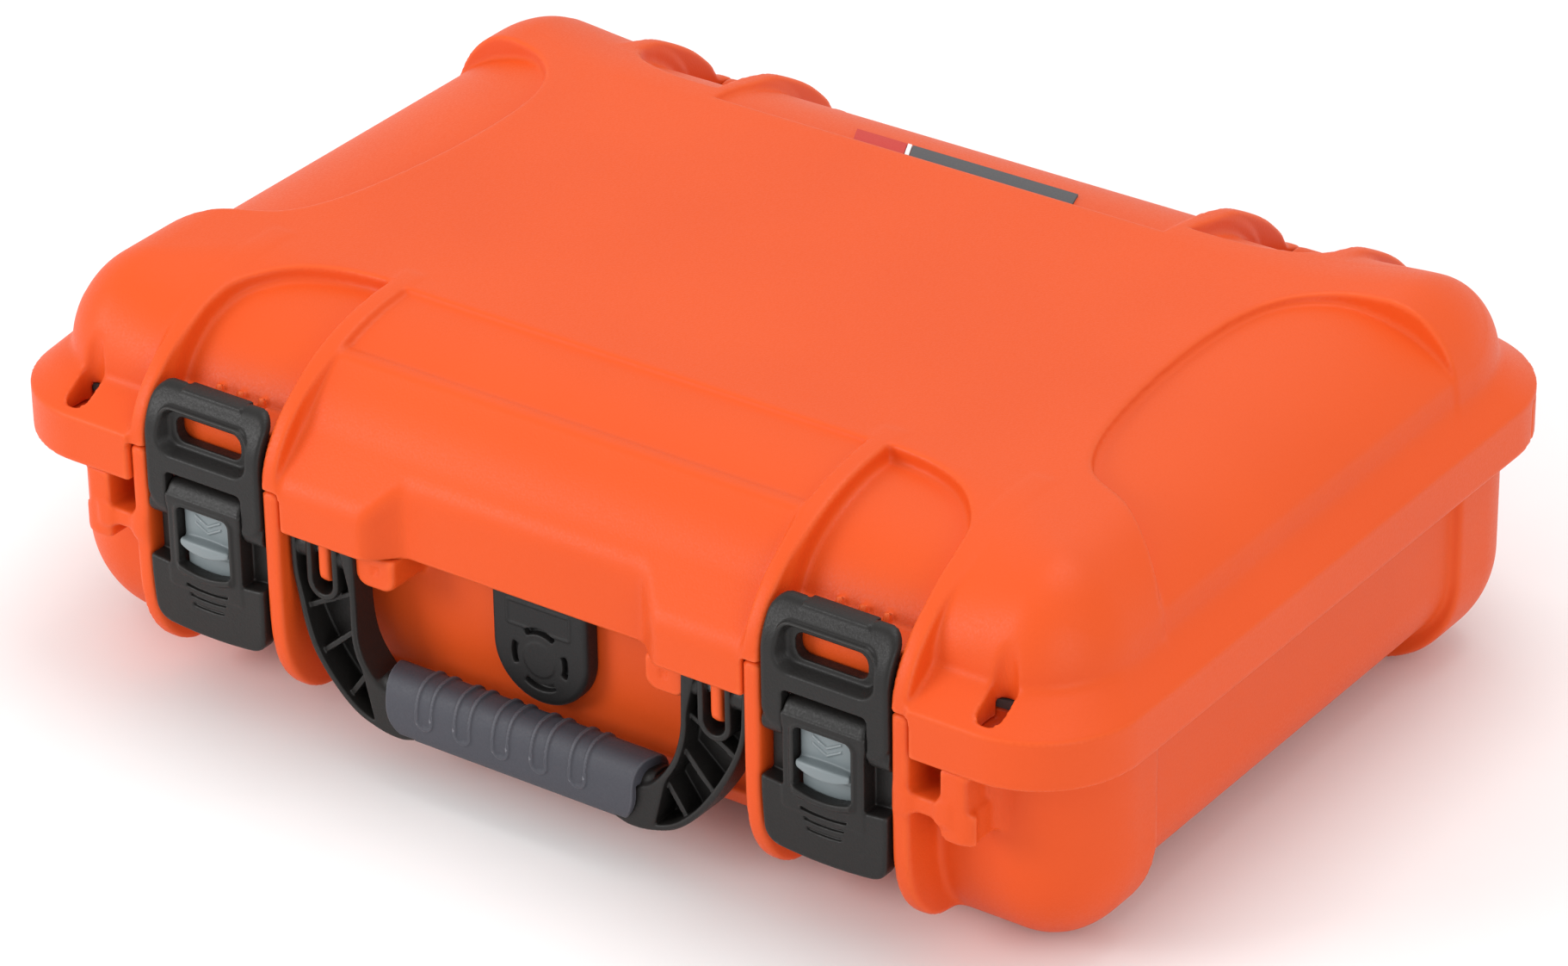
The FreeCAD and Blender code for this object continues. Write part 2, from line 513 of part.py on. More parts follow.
    # the seal groove comes last, so that it also runs through the feet of the ribs and fins
    groove = new_sketch(body, "XY_Plane", "groove_sketch", f"{cell('parting')} + {cell('mouth_gap')}")
    for offset, sign in (("tongue_outside", "+"), ("tongue_inside", "-")):
        growth = f"{sign} {cell(offset)} {sign} {cell('groove_slack')}"
        rounded_rectangle(groove, f"{cell('base_half')} {growth}", f"{cell('base_front')} {growth}",
                          f"{cell('base_back')} {growth}", f"{cell('base_corner')} {growth}")
    checked_cut(body, extrude(body, "Pocket", "seal_groove", groove, cell("groove_depth"), reverse=True))
    plate = new_sketch(body, "XY_Plane", "plate_recess", cell("case_top"))
    rectangle(plate, (-size("plate_half") - 0.2, size("plate_front") - 0.2),
              (size("plate_half") + 0.2, size("plate_back") + 0.2))
    checked_cut(body, extrude(body, "Pocket", "plate_pocket", plate, cell("plate_thick")))
    return body


def gasket():
    """Solid seal ring, seated in the top of the lid's groove."""
    body = new_body("gasket")
    top = f"{cell('parting')} + {cell('mouth_gap')} + {cell('groove_depth')}"
    ring = new_sketch(body, "XY_Plane", "gasket_ring", f"{top} - {cell('seal_thick')}")
    for offset, sign in (("tongue_outside", "+"), ("tongue_inside", "-")):
        growth = f"{sign} {cell(offset)} {sign} {cell('groove_slack')} * 0.5"
        rounded_rectangle(ring, f"{cell('base_half')} {growth}", f"{cell('base_front')} {growth}",
                          f"{cell('base_back')} {growth}", f"{cell('base_corner')} {growth}")
    extrude(body, "Pad", "gasket_pad", ring, cell("seal_thick"))
    return body


# ---------------------------------------------------------------- latches

def across(body, kind, name, middle, half, draw):
    """Pad or Pocket of a YZ profile, spread evenly each side of the latch's own middle plane."""
    sketch = new_sketch(body, "YZ_Plane", f"{name}_sketch", middle)
    draw(sketch)
    return extrude(body, kind, name, sketch, f"2 * ({half})", both=True)


def front_window(body, name, middle, half, low, high, corner, start):
    """A rounded window through a front plate, cut forwards from the plane y = -start."""
    sketch = new_sketch(body, "XZ_Plane", f"{name}_sketch", str(start))
    left, right = middle - half, middle + half
    skew = corner * (1 - math.sqrt(0.5))
    outline(sketch, (left + corner, low), (right - corner, low), (right - skew, low + skew, "via"),
            (right, low + corner), (right, high - corner), (right - skew, high - skew, "via"),
            (right - corner, high), (left + corner, high), (left + skew, high - skew, "via"),
            (left, high - corner), (left, low + corner), (left + skew, low + skew, "via"))
    return extrude(body, "Pocket", name, sketch, "30", reverse=True)


def latch_lever(side, sign):
    """Lever: a wide pull tab with a narrow neck that ends in the pivot barrel."""
    body = new_body(f"latch_lever_{side}")
    middle = sign * size("latch_x")
    face, back = -size("lever_face"), -size("lever_face") + size("lever_thick")
    top, pivot = size("lever_top"), (-size("pivot_y"), size("pivot_z"))
    radius = size("barrel_radius")
    across(body, "Pad", "neck", str(middle), cell("lever_neck_half"), lambda sketch: outline(
        sketch, (face, size("lever_shoulder") - 2), (face, top - 3), (face + 0.9, top - 0.9, "via"),
        (face + 3, top), (pivot[0], pivot[1] + radius), (pivot[0] + radius, pivot[1], "via"),
        (pivot[0], pivot[1] - radius), (back, 60.6), (back, size("lever_shoulder") - 2)))
    across(body, "Pad", "tab", str(middle), cell("latch_half"), lambda sketch: outline(
        sketch, (face, size("lever_shoulder")), (face, size("lever_bottom") + 3),
        (face + 0.6, size("lever_bottom") + 0.9, "via"), (face + 2.2, size("lever_bottom")),
        (back, size("lever_bottom")), (back, size("lever_shoulder"))))
    across(body, "Pad", "spring_seat", str(middle), "4", lambda sketch: rectangle(
        sketch, (back - 0.4, 38.0), (back + 3.4, size("spring_low") - 0.1)))
    window = front_window(body, "slider_window", middle, size("window_half"), size("window_low"),
                          size("window_high"), 1.2, size("lever_face") - size("lever_thick") - 0.6)
    checked_cut(body, window)
    ridges = new_sketch(body, "XZ_Plane", "grip_lines", cell("lever_face"))
    for level in (36.0, 33.2, 30.4):
        rectangle(ridges, (middle - 7.5, level), (middle + 7.5, level + 0.8))
    checked_cut(body, extrude(body, "Pocket", "grip_line_cut", ridges, "0.6"))
    bores = across(body, "Pocket", "pivot_bore", str(middle), "15", lambda sketch: circle(
        sketch, pivot, size("pivot_pin_radius") + size("running_clearance")))
    checked_cut(body, bores)
    link = across(body, "Pocket", "link_bore", str(middle), "15", lambda sketch: circle(
        sketch, (-size("link_y"), size("link_z")), size("link_pin_radius")))
    checked_cut(body, link)
    return body


def latch_claw(side, sign):
    """Claw: a plate with two legs that hang on the lever and a hook that drops behind the lid's rail."""
    body = new_body(f"latch_claw_{side}")
    middle = sign * size("latch_x")
    face = -size("claw_face")
    back = face + size("claw_thick")
    link = (-size("link_y"), size("link_z"))
    knuckle, top = size("knuckle"), size("claw_top")
    hook_back, hook_front = -size("hook_back"), -size("hook_back") - size("hook_thick")
    across(body, "Pad", "plate", str(middle), cell("latch_half"), lambda sketch: outline(
        sketch, (face, link[1]), (face, top - 4), (face + 1.3, top - 1.2, "via"), (face + 4.5, top),
        (hook_back - 1.5, top), (hook_back - 0.4, top - 0.4, "via"), (hook_back, top - 1.5),
        (hook_back, size("hook_tip")), (hook_front, size("hook_tip")), (hook_front, top - size("hook_web")),
        (back, top - size("hook_web")), (back, link[1] + knuckle + 1), (link[0] + knuckle, link[1]),
        (link[0], link[1] - knuckle, "via"), (link[0] - knuckle, link[1])))
    between = new_sketch(body, "XZ_Plane", "leg_gap_sketch", "120")
    inner = size("claw_leg_in")
    rectangle(between, (middle - inner, 50.0), (middle + inner, size("claw_bridge")))
    checked_cut(body, extrude(body, "Pocket", "leg_gap", between, "30", reverse=True))
    slot = front_window(body, "claw_slot", middle, size("claw_slot_half"), size("claw_slot_low"),
                        size("claw_slot_high"), 3.2, 131)
    checked_cut(body, slot)
    bore = across(body, "Pocket", "link_bore", str(middle), "25", lambda sketch: circle(
        sketch, link, size("link_pin_radius") + size("running_clearance")))
    checked_cut(body, bore)
    return body


def latch_slider(side, sign):
    """Release slider: a thumb ledge in the lever's window, kept in by a flange behind the lever."""
    body = new_body(f"latch_slider_{side}")
    middle = sign * size("latch_x")
    behind = -size("lever_face") + size("lever_thick") + 0.3
    across(body, "Pad", "block", str(middle), cell("slider_half"), lambda sketch: outline(
        sketch, (behind, size("slider_low")), (-size("slider_face"), size("slider_low")),
        (-size("slider_face"), size("ledge_low") - 1.2), (-size("ledge_face"), size("ledge_low")),
        (-size("ledge_face"), size("ledge_high") - 1.0), (-size("slider_face"), size("ledge_high")),
        (-size("slider_face") + 0.6, size("slider_high")), (behind, size("slider_high"))))
    across(body, "Pad", "flange", str(middle), "9.2", lambda sketch: rectangle(
        sketch, (behind, size("spring_high") + 0.1), (behind + 1.4, size("flange_high"))))
    return body


def slider_spring(side, sign):
    """Compression coil between the lever's seat and the slider."""
    feature = doc.addObject("Part::Feature", f"slider_spring_{side}")
    feature.Label = f"slider_spring_{side}"
    span = size("spring_high") - size("spring_low")
    wire = size("spring_wire")
    pitch = (span - 2 * wire) / size("spring_turns")
    helix = Part.makeHelix(pitch, span - 2 * wire, size("spring_radius") - wire)
    start = Vector(size("spring_radius") - wire, 0, 0)
    profile = Part.Wire([Part.makeCircle(wire, start, Vector(0, 1, 0))])
    coil = Part.Wire(helix).makePipeShell([profile], True, True)
    feature.Shape = coil
    behind = -size("lever_face") + size("lever_thick") + 1.8
    feature.Placement = Placement(Vector(sign * size("latch_x"), behind, size("spring_low") + wire), Rotation())
    return feature


def pin_cylinder(name, low, high, radius_alias):
    """A straight pin along X, as a cylinder whose sizes follow the sheet."""
    pin = doc.addObject("Part::Cylinder", name)
    pin.Label = name
    pin.setExpression("Radius", cell(radius_alias))
    pin.Height = high[0] - low[0]
    pin.Placement = Placement(Vector(*low), Rotation(Vector(0, 1, 0), 90))
    return pin


def link_pins(side, sign):
    """Two short pins that join the claw's legs to the lever's neck."""
    feature = doc.addObject("Part::Feature", f"latch_link_pins_{side}")
    feature.Label = f"latch_link_pins_{side}"
    place = (-size("link_y"), size("link_z"))
    reach, start = size("latch_half") - 0.3, size("link_pin_start")
    rods = [rod((a, 0, 0), (b, 0, 0), size("link_pin_radius")) for a, b in ((-reach, -start), (start, reach))]
    feature.Shape = Part.makeCompound(rods)
    feature.Placement = Placement(Vector(sign * size("latch_x"), *place), Rotation())
    return feature


def latch(side, sign):
    middle, reach = sign * size("latch_x"), size("latch_half") + 3.0
    pivot = (-size("pivot_y"), size("pivot_z"))
    return [latch_lever(side, sign), latch_claw(side, sign), latch_slider(side, sign),
            slider_spring(side, sign), link_pins(side, sign),
            pin_cylinder(f"latch_pivot_pin_{side}", (middle - reach, *pivot), (middle + reach, *pivot),
                         "pivot_pin_radius")]


# ---------------------------------------------------------------- carrying handle

def handle_frame():
    """Frame: two forked arms that sweep in to a core bar under the grip."""
    body = new_body("handle_frame")
    arms = new_sketch(body, "XZ_Plane", "handle_outline", cell("arm_back"))
    outer, inner, top = size("handle_outer"), size("handle_top_inner"), size("handle_top")
    low, high, inset = size("grip_low"), size("grip_high"), size("grip_core_inset")
    end = size("grip_half")
    outline(arms, (outer, top), (outer, 55.0), (68.6, 33.0, "via"), (end, low),
            (end, low + inset), (-end, low + inset), (-end, low),
            (-68.6, 33.0, "via"), (-outer, 55.0), (-outer, top), (-inner, top), (-inner, 58.0),
            (-53.2, 44.0, "via"), (-end, high), (-end, high - inset), (end, high - inset), (end, high),
            (53.2, 44.0, "via"), (inner, 58.0), (inner, top))
    extrude(body, "Pad", "handle_plate", arms, f"{cell('arm_front')} - {cell('arm_back')}")
    # the lower ends of the arms stand forward to meet the grip
    feet = new_sketch(body, "XZ_Plane", "arm_ends", cell("arm_front"))
    for sign in (1, -1):
        outline(feet, (sign * end, low), (sign * end, high), (sign * 50.5, 38.5, "via"), (sign * 53.5, 45.0),
                (sign * 72.6, 41.5), (sign * 63.6, 24.5, "via"))
    extrude(body, "Pad", "arm_end_pads", feet, "2.6")
    split = new_sketch(body, "XZ_Plane", "fork_slots", "100")
    left, right = size("tine_split_in"), size("tine_split_out")
    radius = (right - left) / 2
    bottom = size("fork_bottom")
    for sign in (1, -1):
        outline(split, (sign * left, 80), (sign * left, bottom + radius),
                (sign * (left + right) / 2, bottom, "via"), (sign * right, bottom + radius), (sign * right, 80))
    checked_cut(body, extrude(body, "Pocket", "fork_slot_cut", split, "60", reverse=True))
    # cored pockets in the front of the arms, split by cross ribs
    pockets = new_sketch(body, "XZ_Plane", "arm_pockets", "128")
    for sign in (1, -1):
        for corners in (((72.6, 46.0), (71.4, 38.6), (57.6, 41.5), (59.2, 47.0)),
                        ((70.2, 36.4), (65.6, 30.0), (54.8, 35.4), (57.0, 39.4)),
                        ((63.8, 28.2), (57.0, 22.6), (51.0, 29.6), (53.6, 33.6))):
            outline(pockets, *[(sign * across_x, up) for across_x, up in corners])
    checked_cut(body, extrude(body, "Pocket", "arm_pocket_cut", pockets, "20", reverse=True))
    bore = side_slab(body, "Pocket", "handle_bore", "50", "30", lambda sketch: circle(
        sketch, (-size("handle_y"), size("handle_z")), size("handle_pin_radius") + size("running_clearance")))
    mirror_left(body, "handle_bore_left", bore)
    return body


def handle_grip():
    """Rubber sleeve over the frame's core bar, crowned at the front, with finger ridges."""
    body = new_body("handle_grip")
    end, inset = size("grip_half"), size("grip_core_inset")
    low, high = size("grip_low"), size("grip_high")
    front, back = -size("grip_front"), -size("grip_back")
    middle = (low + high) / 2

    def section(sketch):
        outline(sketch, (back, low + 4), (back, high - 4), (back - 1.2, high - 1.2, "via"), (back - 4, high),
                (back - 8, high), (front, middle, "via"), (back - 8, low), (back - 4, low),
                (back - 1.2, low + 1.2, "via"))

    across(body, "Pad", "sleeve", "0", cell("grip_half"), section)
    core = across(body, "Pocket", "core", "0", f"{cell('grip_half')} + 5", lambda sketch: rectangle(
        sketch, (-size("arm_front"), low + inset), (-size("arm_back"), high - inset)))
    checked_cut(body, core)
    for number in range(-2, 3):
        across(body, "Pad", f"finger_ridge_{number + 3}", str(number * 15.0), "1.3", lambda sketch: outline(
            sketch, (back - 8.5, high - 2.4), (back - 8.4, high - 0.6), (front + 0.1, middle, "via"),
            (back - 8.4, low + 0.6), (back - 8.5, low + 2.4), (front + 1.4, middle, "via")))
    return body


# ---------------------------------------------------------------- pressure valve

def valve_cap():
    """Outer shield of the pressure valve, flat at the top and round at the bottom."""
    body = new_body("valve_cap")
    plate = new_sketch(body, "XZ_Plane", "cap_plate", cell("front_recess"))
    half, level = size("valve_half"), size("valve_z")
    outline(plate, (-half, size("valve_high")), (-half, level), (0, level - half, "via"), (half, level),
            (half, size("valve_high")))
    extrude(body, "Pad", "cap_pad", plate, cell("valve_thick"))
    face = new_sketch(body, "XZ_Plane", "cap_ring", f"{cell('front_recess')} + {cell('valve_thick')}")
    circle(face, (0, level), 10.5)
    circle(face, (0, level), 8.4)
    checked_cut(body, extrude(body, "Pocket", "ring_groove", face, "1.2"))
    seat = new_sketch(body, "XZ_Plane", "seal_seat", cell("front_recess"))
    circle(seat, (0, level), 10.2)
    checked_cut(body, extrude(body, "Pocket", "seal_seat_cut", seat, "1.4", reverse=True))
    stem = new_sketch(body, "XZ_Plane", "cap_stem", f"{cell('front_recess')} + 1.4")
    circle(stem, (0, level), size("stem_radius"))
    circle(stem, (0, level), 4.2)
    extrude(body, "Pad", "cap_stem_pad", stem, "10", reverse=True)
    return body


def turned_ring(name, outer_radius, inner_radius, start, length):
    """A flat ring round the valve's axis, between two planes of Y."""
    outside = doc.addObject("Part::Cylinder", f"{name}_outside")
    outside.Radius = outer_radius
    outside.Height = length
    inside = doc.addObject("Part::Cylinder", f"{name}_inside")
    inside.Radius = inner_radius
    inside.Height = length + 2
    inside.Placement = Placement(Vector(0, 0, -1), Rotation())
    ring = doc.addObject("Part::Cut", name)
    ring.Base = outside
    ring.Tool = inside
    ring.Label = name
    ring.Placement = Placement(Vector(0, start, size("valve_z")), Rotation(Vector(1, 0, 0), -90))
    return ring


def valve_nut():
    """Hexagon nut that clamps the valve from inside the case."""
    prism = doc.addObject("Part::Prism", "valve_nut_prism")
    prism.Polygon = 6
    prism.Circumradius = 11.5
    prism.Height = 4.0
    hole = doc.addObject("Part::Cylinder", "valve_nut_hole")
    hole.Radius = size("stem_radius") + 0.1
    hole.Height = 6.0
    hole.Placement = Placement(Vector(0, 0, -1), Rotation())
    nut = doc.addObject("Part::Cut", "valve_nut")
    nut.Base = prism
    nut.Tool = hole
    nut.Label = "valve_nut"
    nut.Placement = Placement(Vector(0, -size("front_bump"), size("valve_z")), Rotation(Vector(1, 0, 0), -90))
    return nut


def valve_membrane():
    """Breathable disc held inside the hollow stem."""
    disc = doc.addObject("Part::Cylinder", "valve_membrane")
    disc.Label = "valve_membrane"
    disc.Radius = 4.1
    disc.Height = 1.0
    disc.Placement = Placement(Vector(0, -size("front_recess") + 4.0, size("valve_z")),
                               Rotation(Vector(1, 0, 0), -90))
    return disc


def name_plate():
    """Blank plate let into the lid."""
    plate = doc.addObject("Part::Box", "name_plate")
    plate.Label = "name_plate"
    plate.setExpression("Length", f"2 * {cell('plate_half')}")
    plate.setExpression("Width", f"{cell('plate_back')} - {cell('plate_front')}")
    plate.setExpression("Height", cell("plate_thick"))
    plate.Placement = Placement(Vector(-size("plate_half"), size("plate_front"),
                                       size("case_top") - size("plate_thick")), Rotation())
    return plate


# ---------------------------------------------------------------- assembly

subparts = [base_shell(), lid_shell(), gasket()]
hinge_line = (size("hinge_y"), size("hinge_z"))
handle_line = (-size("handle_y"), size("handle_z"))
for side, sign in (("left", -1), ("right", 1)):
    near, far = sorted((sign * size("fin_inner"), sign * (size("fin_outer") + size("fin_thick"))))
    subparts.append(pin_cylinder(f"hinge_pin_{side}", (near, *hinge_line), (far, *hinge_line),
                                 "hinge_pin_radius"))
    near, far = sorted((sign * 43.0, sign * 80.4))
    subparts.append(pin_cylinder(f"handle_pin_{side}", (near, *handle_line), (far, *handle_line),
                                 "handle_pin_radius"))
    subparts.extend(latch(side, sign))
subparts.extend([handle_frame(), handle_grip(), valve_cap(), valve_nut(), valve_membrane(), name_plate()])
subparts.append(turned_ring("valve_seal", 9.8, size("stem_radius") + 0.1, -size("front_recess") - 1.3, 1.3))
doc.recompute()

faults = [item.Label for item in doc.Objects if "Invalid" in item.State or "Error" in item.State]
if faults:
    raise RuntimeError(f"objects that did not rebuild: {faults}")
for part in subparts:
    if part.Shape.isNull() or not part.Shape.isValid():
        raise RuntimeError(f"{part.Label} has no valid shape")
for part in subparts:
    part.Shape.exportStep(f"parts/{part.Label}.step")
    print(part.Label, len(part.Shape.Solids), round(part.Shape.Volume))
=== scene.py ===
"""A moulded hard equipment case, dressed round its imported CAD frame.

The shells, latches, handle and valve are mesh work: each is described as a signed distance
field, in millimetres, on a regular grid, and turned into a mesh by OpenVDB. Each mesh takes its
normals from its own field, so it shades as smoothly as a moulding. The small metal parts, the
seals and the valve's inner parts stay the CAD's own.
"""

import math

import bpy
import numpy as np
import openvdb as vdb
from mathutils import Matrix, Vector


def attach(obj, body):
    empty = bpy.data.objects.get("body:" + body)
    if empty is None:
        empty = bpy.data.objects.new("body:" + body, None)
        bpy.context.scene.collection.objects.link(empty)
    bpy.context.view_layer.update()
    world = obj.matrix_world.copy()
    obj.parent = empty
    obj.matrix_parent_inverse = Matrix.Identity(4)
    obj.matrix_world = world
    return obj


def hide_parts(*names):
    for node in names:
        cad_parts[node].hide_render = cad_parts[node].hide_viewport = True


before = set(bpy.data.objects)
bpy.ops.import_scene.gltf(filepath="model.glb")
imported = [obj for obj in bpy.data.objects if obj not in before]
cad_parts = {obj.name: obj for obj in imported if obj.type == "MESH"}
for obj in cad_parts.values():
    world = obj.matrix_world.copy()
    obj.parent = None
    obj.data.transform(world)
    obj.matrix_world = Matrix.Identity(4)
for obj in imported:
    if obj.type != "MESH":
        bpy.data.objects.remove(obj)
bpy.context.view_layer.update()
SIDES = {"left": -1, "right": 1}


# ---------------------------------------------------------------- distance fields

class Grid:
    """Sample points in millimetres. A mirrored grid starts at x = 0 and is doubled when meshed."""

    def __init__(self, low, high, step, mirrored=False):
        self.step = step
        self.mirrored = mirrored
        self.low = np.array(low, dtype=float)
        axes = [low[i] + step * np.arange(int(math.ceil((high[i] - low[i]) / step)) + 1) for i in range(3)]
        self.x = axes[0].astype(np.float32)[:, None, None]
        self.y = axes[1].astype(np.float32)[None, :, None]
        self.z = axes[2].astype(np.float32)[None, None, :]


def both(a, b, soft=0.0):
    """Where the two shapes overlap, with the new edges rounded."""
    if soft <= 0:
        return np.maximum(a, b)
    blend = np.maximum(soft - np.abs(a - b), 0) / soft
    return np.maximum(a, b) + blend * blend * soft / 4


def either(a, b, soft=0.0):
    """The two shapes joined, with the inner corner filled."""
    return -both(-a, -b, soft)


def less(a, b, soft=0.0):
    """The first shape without the second."""
    return both(a, -b, soft)


def between(t, low, high):
    return np.maximum(low - t, t - high)


def around(t, middle, half):
    return np.abs(t - middle) - half


def rounded(u, v, middle, half, radius):
    """A rounded rectangle."""
    p = np.abs(u - middle[0]) - (half[0] - radius)
    q = np.abs(v - middle[1]) - (half[1] - radius)
    outside = np.sqrt(np.maximum(p, 0) ** 2 + np.maximum(q, 0) ** 2)
    return outside + np.minimum(np.maximum(p, q), 0) - radius


def plan(g, half, front, back, radius):
    """A rounded rectangle seen from above, symmetric about x = 0."""
    return rounded(g.x, g.y, (0, (back + front) / 2), (half, (back - front) / 2), radius)


def round_edge(a, b, radius):
    """Where the two shapes overlap, with a circular round of that radius between them."""
    p = np.maximum(a + radius, 0)
    q = np.maximum(b + radius, 0)
    return np.minimum(np.maximum(a, b), -radius) + np.sqrt(p * p + q * q)


def disc(u, v, middle, radius):
    return np.hypot(u - middle[0], v - middle[1]) - radius


def capsule(u, v, start, end, radius):
    du, dv = end[0] - start[0], end[1] - start[1]
    along = np.clip(((u - start[0]) * du + (v - start[1]) * dv) / (du * du + dv * dv), 0, 1)
    return np.hypot(u - start[0] - along * du, v - start[1] - along * dv) - radius


def polygon(u, v, corners):
    """A closed outline through the corners."""
    corners = np.asarray(corners, dtype=np.float32)
    nearest = None
    inside = None
    for a, b in zip(corners, np.roll(corners, -1, axis=0)):
        du, dv = b - a
        along = np.clip(((u - a[0]) * du + (v - a[1]) * dv) / (du * du + dv * dv), 0, 1)
        away = (u - a[0] - along * du) ** 2 + (v - a[1] - along * dv) ** 2
        crosses = ((a[1] > v) != (b[1] > v)) & ((v - a[1]) * du / (dv if dv else 1e-9) + a[0] > u)
        nearest = away if nearest is None else np.minimum(nearest, away)
        inside = crosses if inside is None else inside ^ crosses
    return np.where(inside, -1, 1) * np.sqrt(nearest)


def smooth_path(points, steps=8):
    """Points on a Catmull-Rom curve through the given ones."""
    points = [np.array(p, dtype=float) for p in points]
    points = [2 * points[0] - points[1]] + points + [2 * points[-1] - points[-2]]
    path = []
    for a, b, c, d in zip(points, points[1:], points[2:], points[3:]):
        for t in np.arange(steps) / steps:
            path.append(0.5 * (2 * b + (c - a) * t + (2 * a - 5 * b + 4 * c - d) * t ** 2
                               + (3 * b - a - 3 * c + d) * t ** 3))
    return path + [points[-2]]


def ellipse(u, v, middle, radii):
    """About the distance to an ellipse, good near its edge."""
    p = (u - middle[0]) / radii[0]
    q = (v - middle[1]) / radii[1]
    length = np.sqrt(p * p + q * q) + 1e-6
    steep = np.sqrt((p / radii[0]) ** 2 + (q / radii[1]) ** 2) + 1e-6
    return np.where(length > 0.2, (length - 1) * length / steep, -0.8 * min(radii))


def step_up(t, low, high):
    """0 below low and 1 above high, with a soft S between."""
    s = np.clip((t - low) / (high - low), 0, 1)
    return s * s * (3 - 2 * s)


# ---------------------------------------------------------------- meshing

def sample(field, at):
    """The field at fractional grid places, by trilinear interpolation."""
    low = np.clip(np.floor(at).astype(int), 0, np.array(field.shape) - 2)
    part = at - low
    value = 0
    for corner in range(8):
        shift = np.array([(corner >> k) & 1 for k in range(3)])
        weight = np.prod(np.where(shift, part, 1 - part), axis=1)
        i, j, k = (low + shift).T
        value = value + weight * field[i, j, k]
    return value


def build_mesh(name, g, field):
    """A mesh object in metres on the field's zero surface."""
    field = np.ascontiguousarray(np.broadcast_to(field, np.broadcast(g.x, g.y, g.z).shape), dtype=np.float32)
    low = g.low.copy()
    if g.mirrored:
        low[0] = -g.step * (field.shape[0] - 1)
        field = np.concatenate([field[:0:-1], field])
    band = 3 * g.step
    field = np.clip(field, -band, band)
    volume = vdb.FloatGrid(band)
    volume.copyFromArray(field)
    points, triangles, quads = volume.convertToPolygons(isovalue=0.0, adaptivity=0.0)
    slope = np.stack([sample(field, points + shift) - sample(field, points - shift)
                      for shift in np.eye(3) * 0.7], axis=1)
    slope /= np.linalg.norm(slope, axis=1, keepdims=True) + 1e-9
    faces = [tuple(face[::-1]) for kind in (triangles, quads) for face in kind.tolist()]
    mesh = bpy.data.meshes.new(name)
    mesh.from_pydata(((points * g.step + low) / 1000).tolist(), [], faces)
    first = mesh.polygons[0]
    facing = np.array(first.normal) @ slope[first.vertices[0]]
    if facing < 0:
        mesh.flip_normals()
    mesh.polygons.foreach_set("use_smooth", [True] * len(mesh.polygons))
    mesh.normals_split_custom_set_from_vertices(slope.tolist())
    mesh.update()
    return mesh


def add_piece(name, mesh, body, material, stands_for=()):
    piece = bpy.data.objects.new(name, mesh)
    bpy.context.scene.collection.objects.link(piece)
    piece.data.materials.append(material)
    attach(piece, body)
    if stands_for:
        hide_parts(*stands_for)
    return piece


def moved_copy(mesh, name, shift_mm):
    copy = mesh.copy()
    copy.name = name
    copy.transform(Matrix.Translation([c / 1000 for c in shift_mm]))
    return copy


# ---------------------------------------------------------------- materials

class Nodes:
    """Short names for the shader nodes that the materials share."""

    def __init__(self, name):
        self.material = bpy.data.materials.new(name)
        self.material.use_nodes = True
        self.tree = self.material.node_tree
        self.shader = self.tree.nodes["Principled BSDF"]
        self.place = self.tree.nodes.new("ShaderNodeTexCoord").outputs["Object"]

    def link(self, source, target):
        self.tree.links.new(source, target)

    def noise(self, scale, detail=2.0, rough=0.5):
        node = self.tree.nodes.new("ShaderNodeTexNoise")
        node.inputs["Scale"].default_value = scale
        node.inputs["Detail"].default_value = detail
        node.inputs["Roughness"].default_value = rough
        self.link(self.place, node.inputs["Vector"])
        return node.outputs["Fac"]

    def spread(self, value, low, high, out_low=0.0, out_high=1.0):
        node = self.tree.nodes.new("ShaderNodeMapRange")
        for key, number in (("From Min", low), ("From Max", high), ("To Min", out_low), ("To Max", out_high)):
            node.inputs[key].default_value = number
        self.link(value, node.inputs["Value"])
        return node.outputs["Result"]

    def mix(self, amount, first, second):
        node = self.tree.nodes.new("ShaderNodeMix")
        node.data_type = "RGBA"
        self.link(amount, node.inputs["Factor"])
        for value, socket in ((first, node.inputs["A"]), (second, node.inputs["B"])):
            if isinstance(value, tuple):
                socket.default_value = (*value, 1)
            else:
                self.link(value, socket)
        return node.outputs["Result"]

    def edges(self, low, high):
        """1 on sharp outer edges, 0 elsewhere."""
        geometry = self.tree.nodes.new("ShaderNodeNewGeometry")
        return self.spread(geometry.outputs["Pointiness"], low, high)

    def bump(self, height, distance):
        node = self.tree.nodes.new("ShaderNodeBump")
        node.inputs["Distance"].default_value = distance
        node.inputs["Strength"].default_value = 1.0
        self.link(height, node.inputs["Height"])
        return node.outputs["Normal"]


def moulded_plastic(name, colour, shade, edge_highlight_and_wear, roughness, grain=0.00006, grain_scale=1500.0, specular=0.5):
    """Textured moulded plastic: fine grain, a slow drift of colour and sharp edges painted paler, a painted
    highlight that also stands for rubbed wear.
    """
    n = Nodes(name)
    drift = n.spread(n.noise(9.0, 3.0), 0.35, 0.65)
    body = n.mix(drift, colour, shade)
    # sharp outer edges are painted paler: a painted edge highlight, and also rubbed wear
    edge_highlight_and_wear_mask = n.edges(0.52, 0.60)
    n.link(n.mix(edge_highlight_and_wear_mask, body, edge_highlight_and_wear), n.shader.inputs["Base Color"])
    speckle = n.noise(grain_scale, 2.0, 0.6)
    n.link(n.spread(speckle, 0.3, 0.7, roughness - 0.06, roughness + 0.08), n.shader.inputs["Roughness"])
    n.link(n.bump(speckle, grain), n.shader.inputs["Normal"])
    n.shader.inputs["Specular IOR Level"].default_value = specular
    return n.material


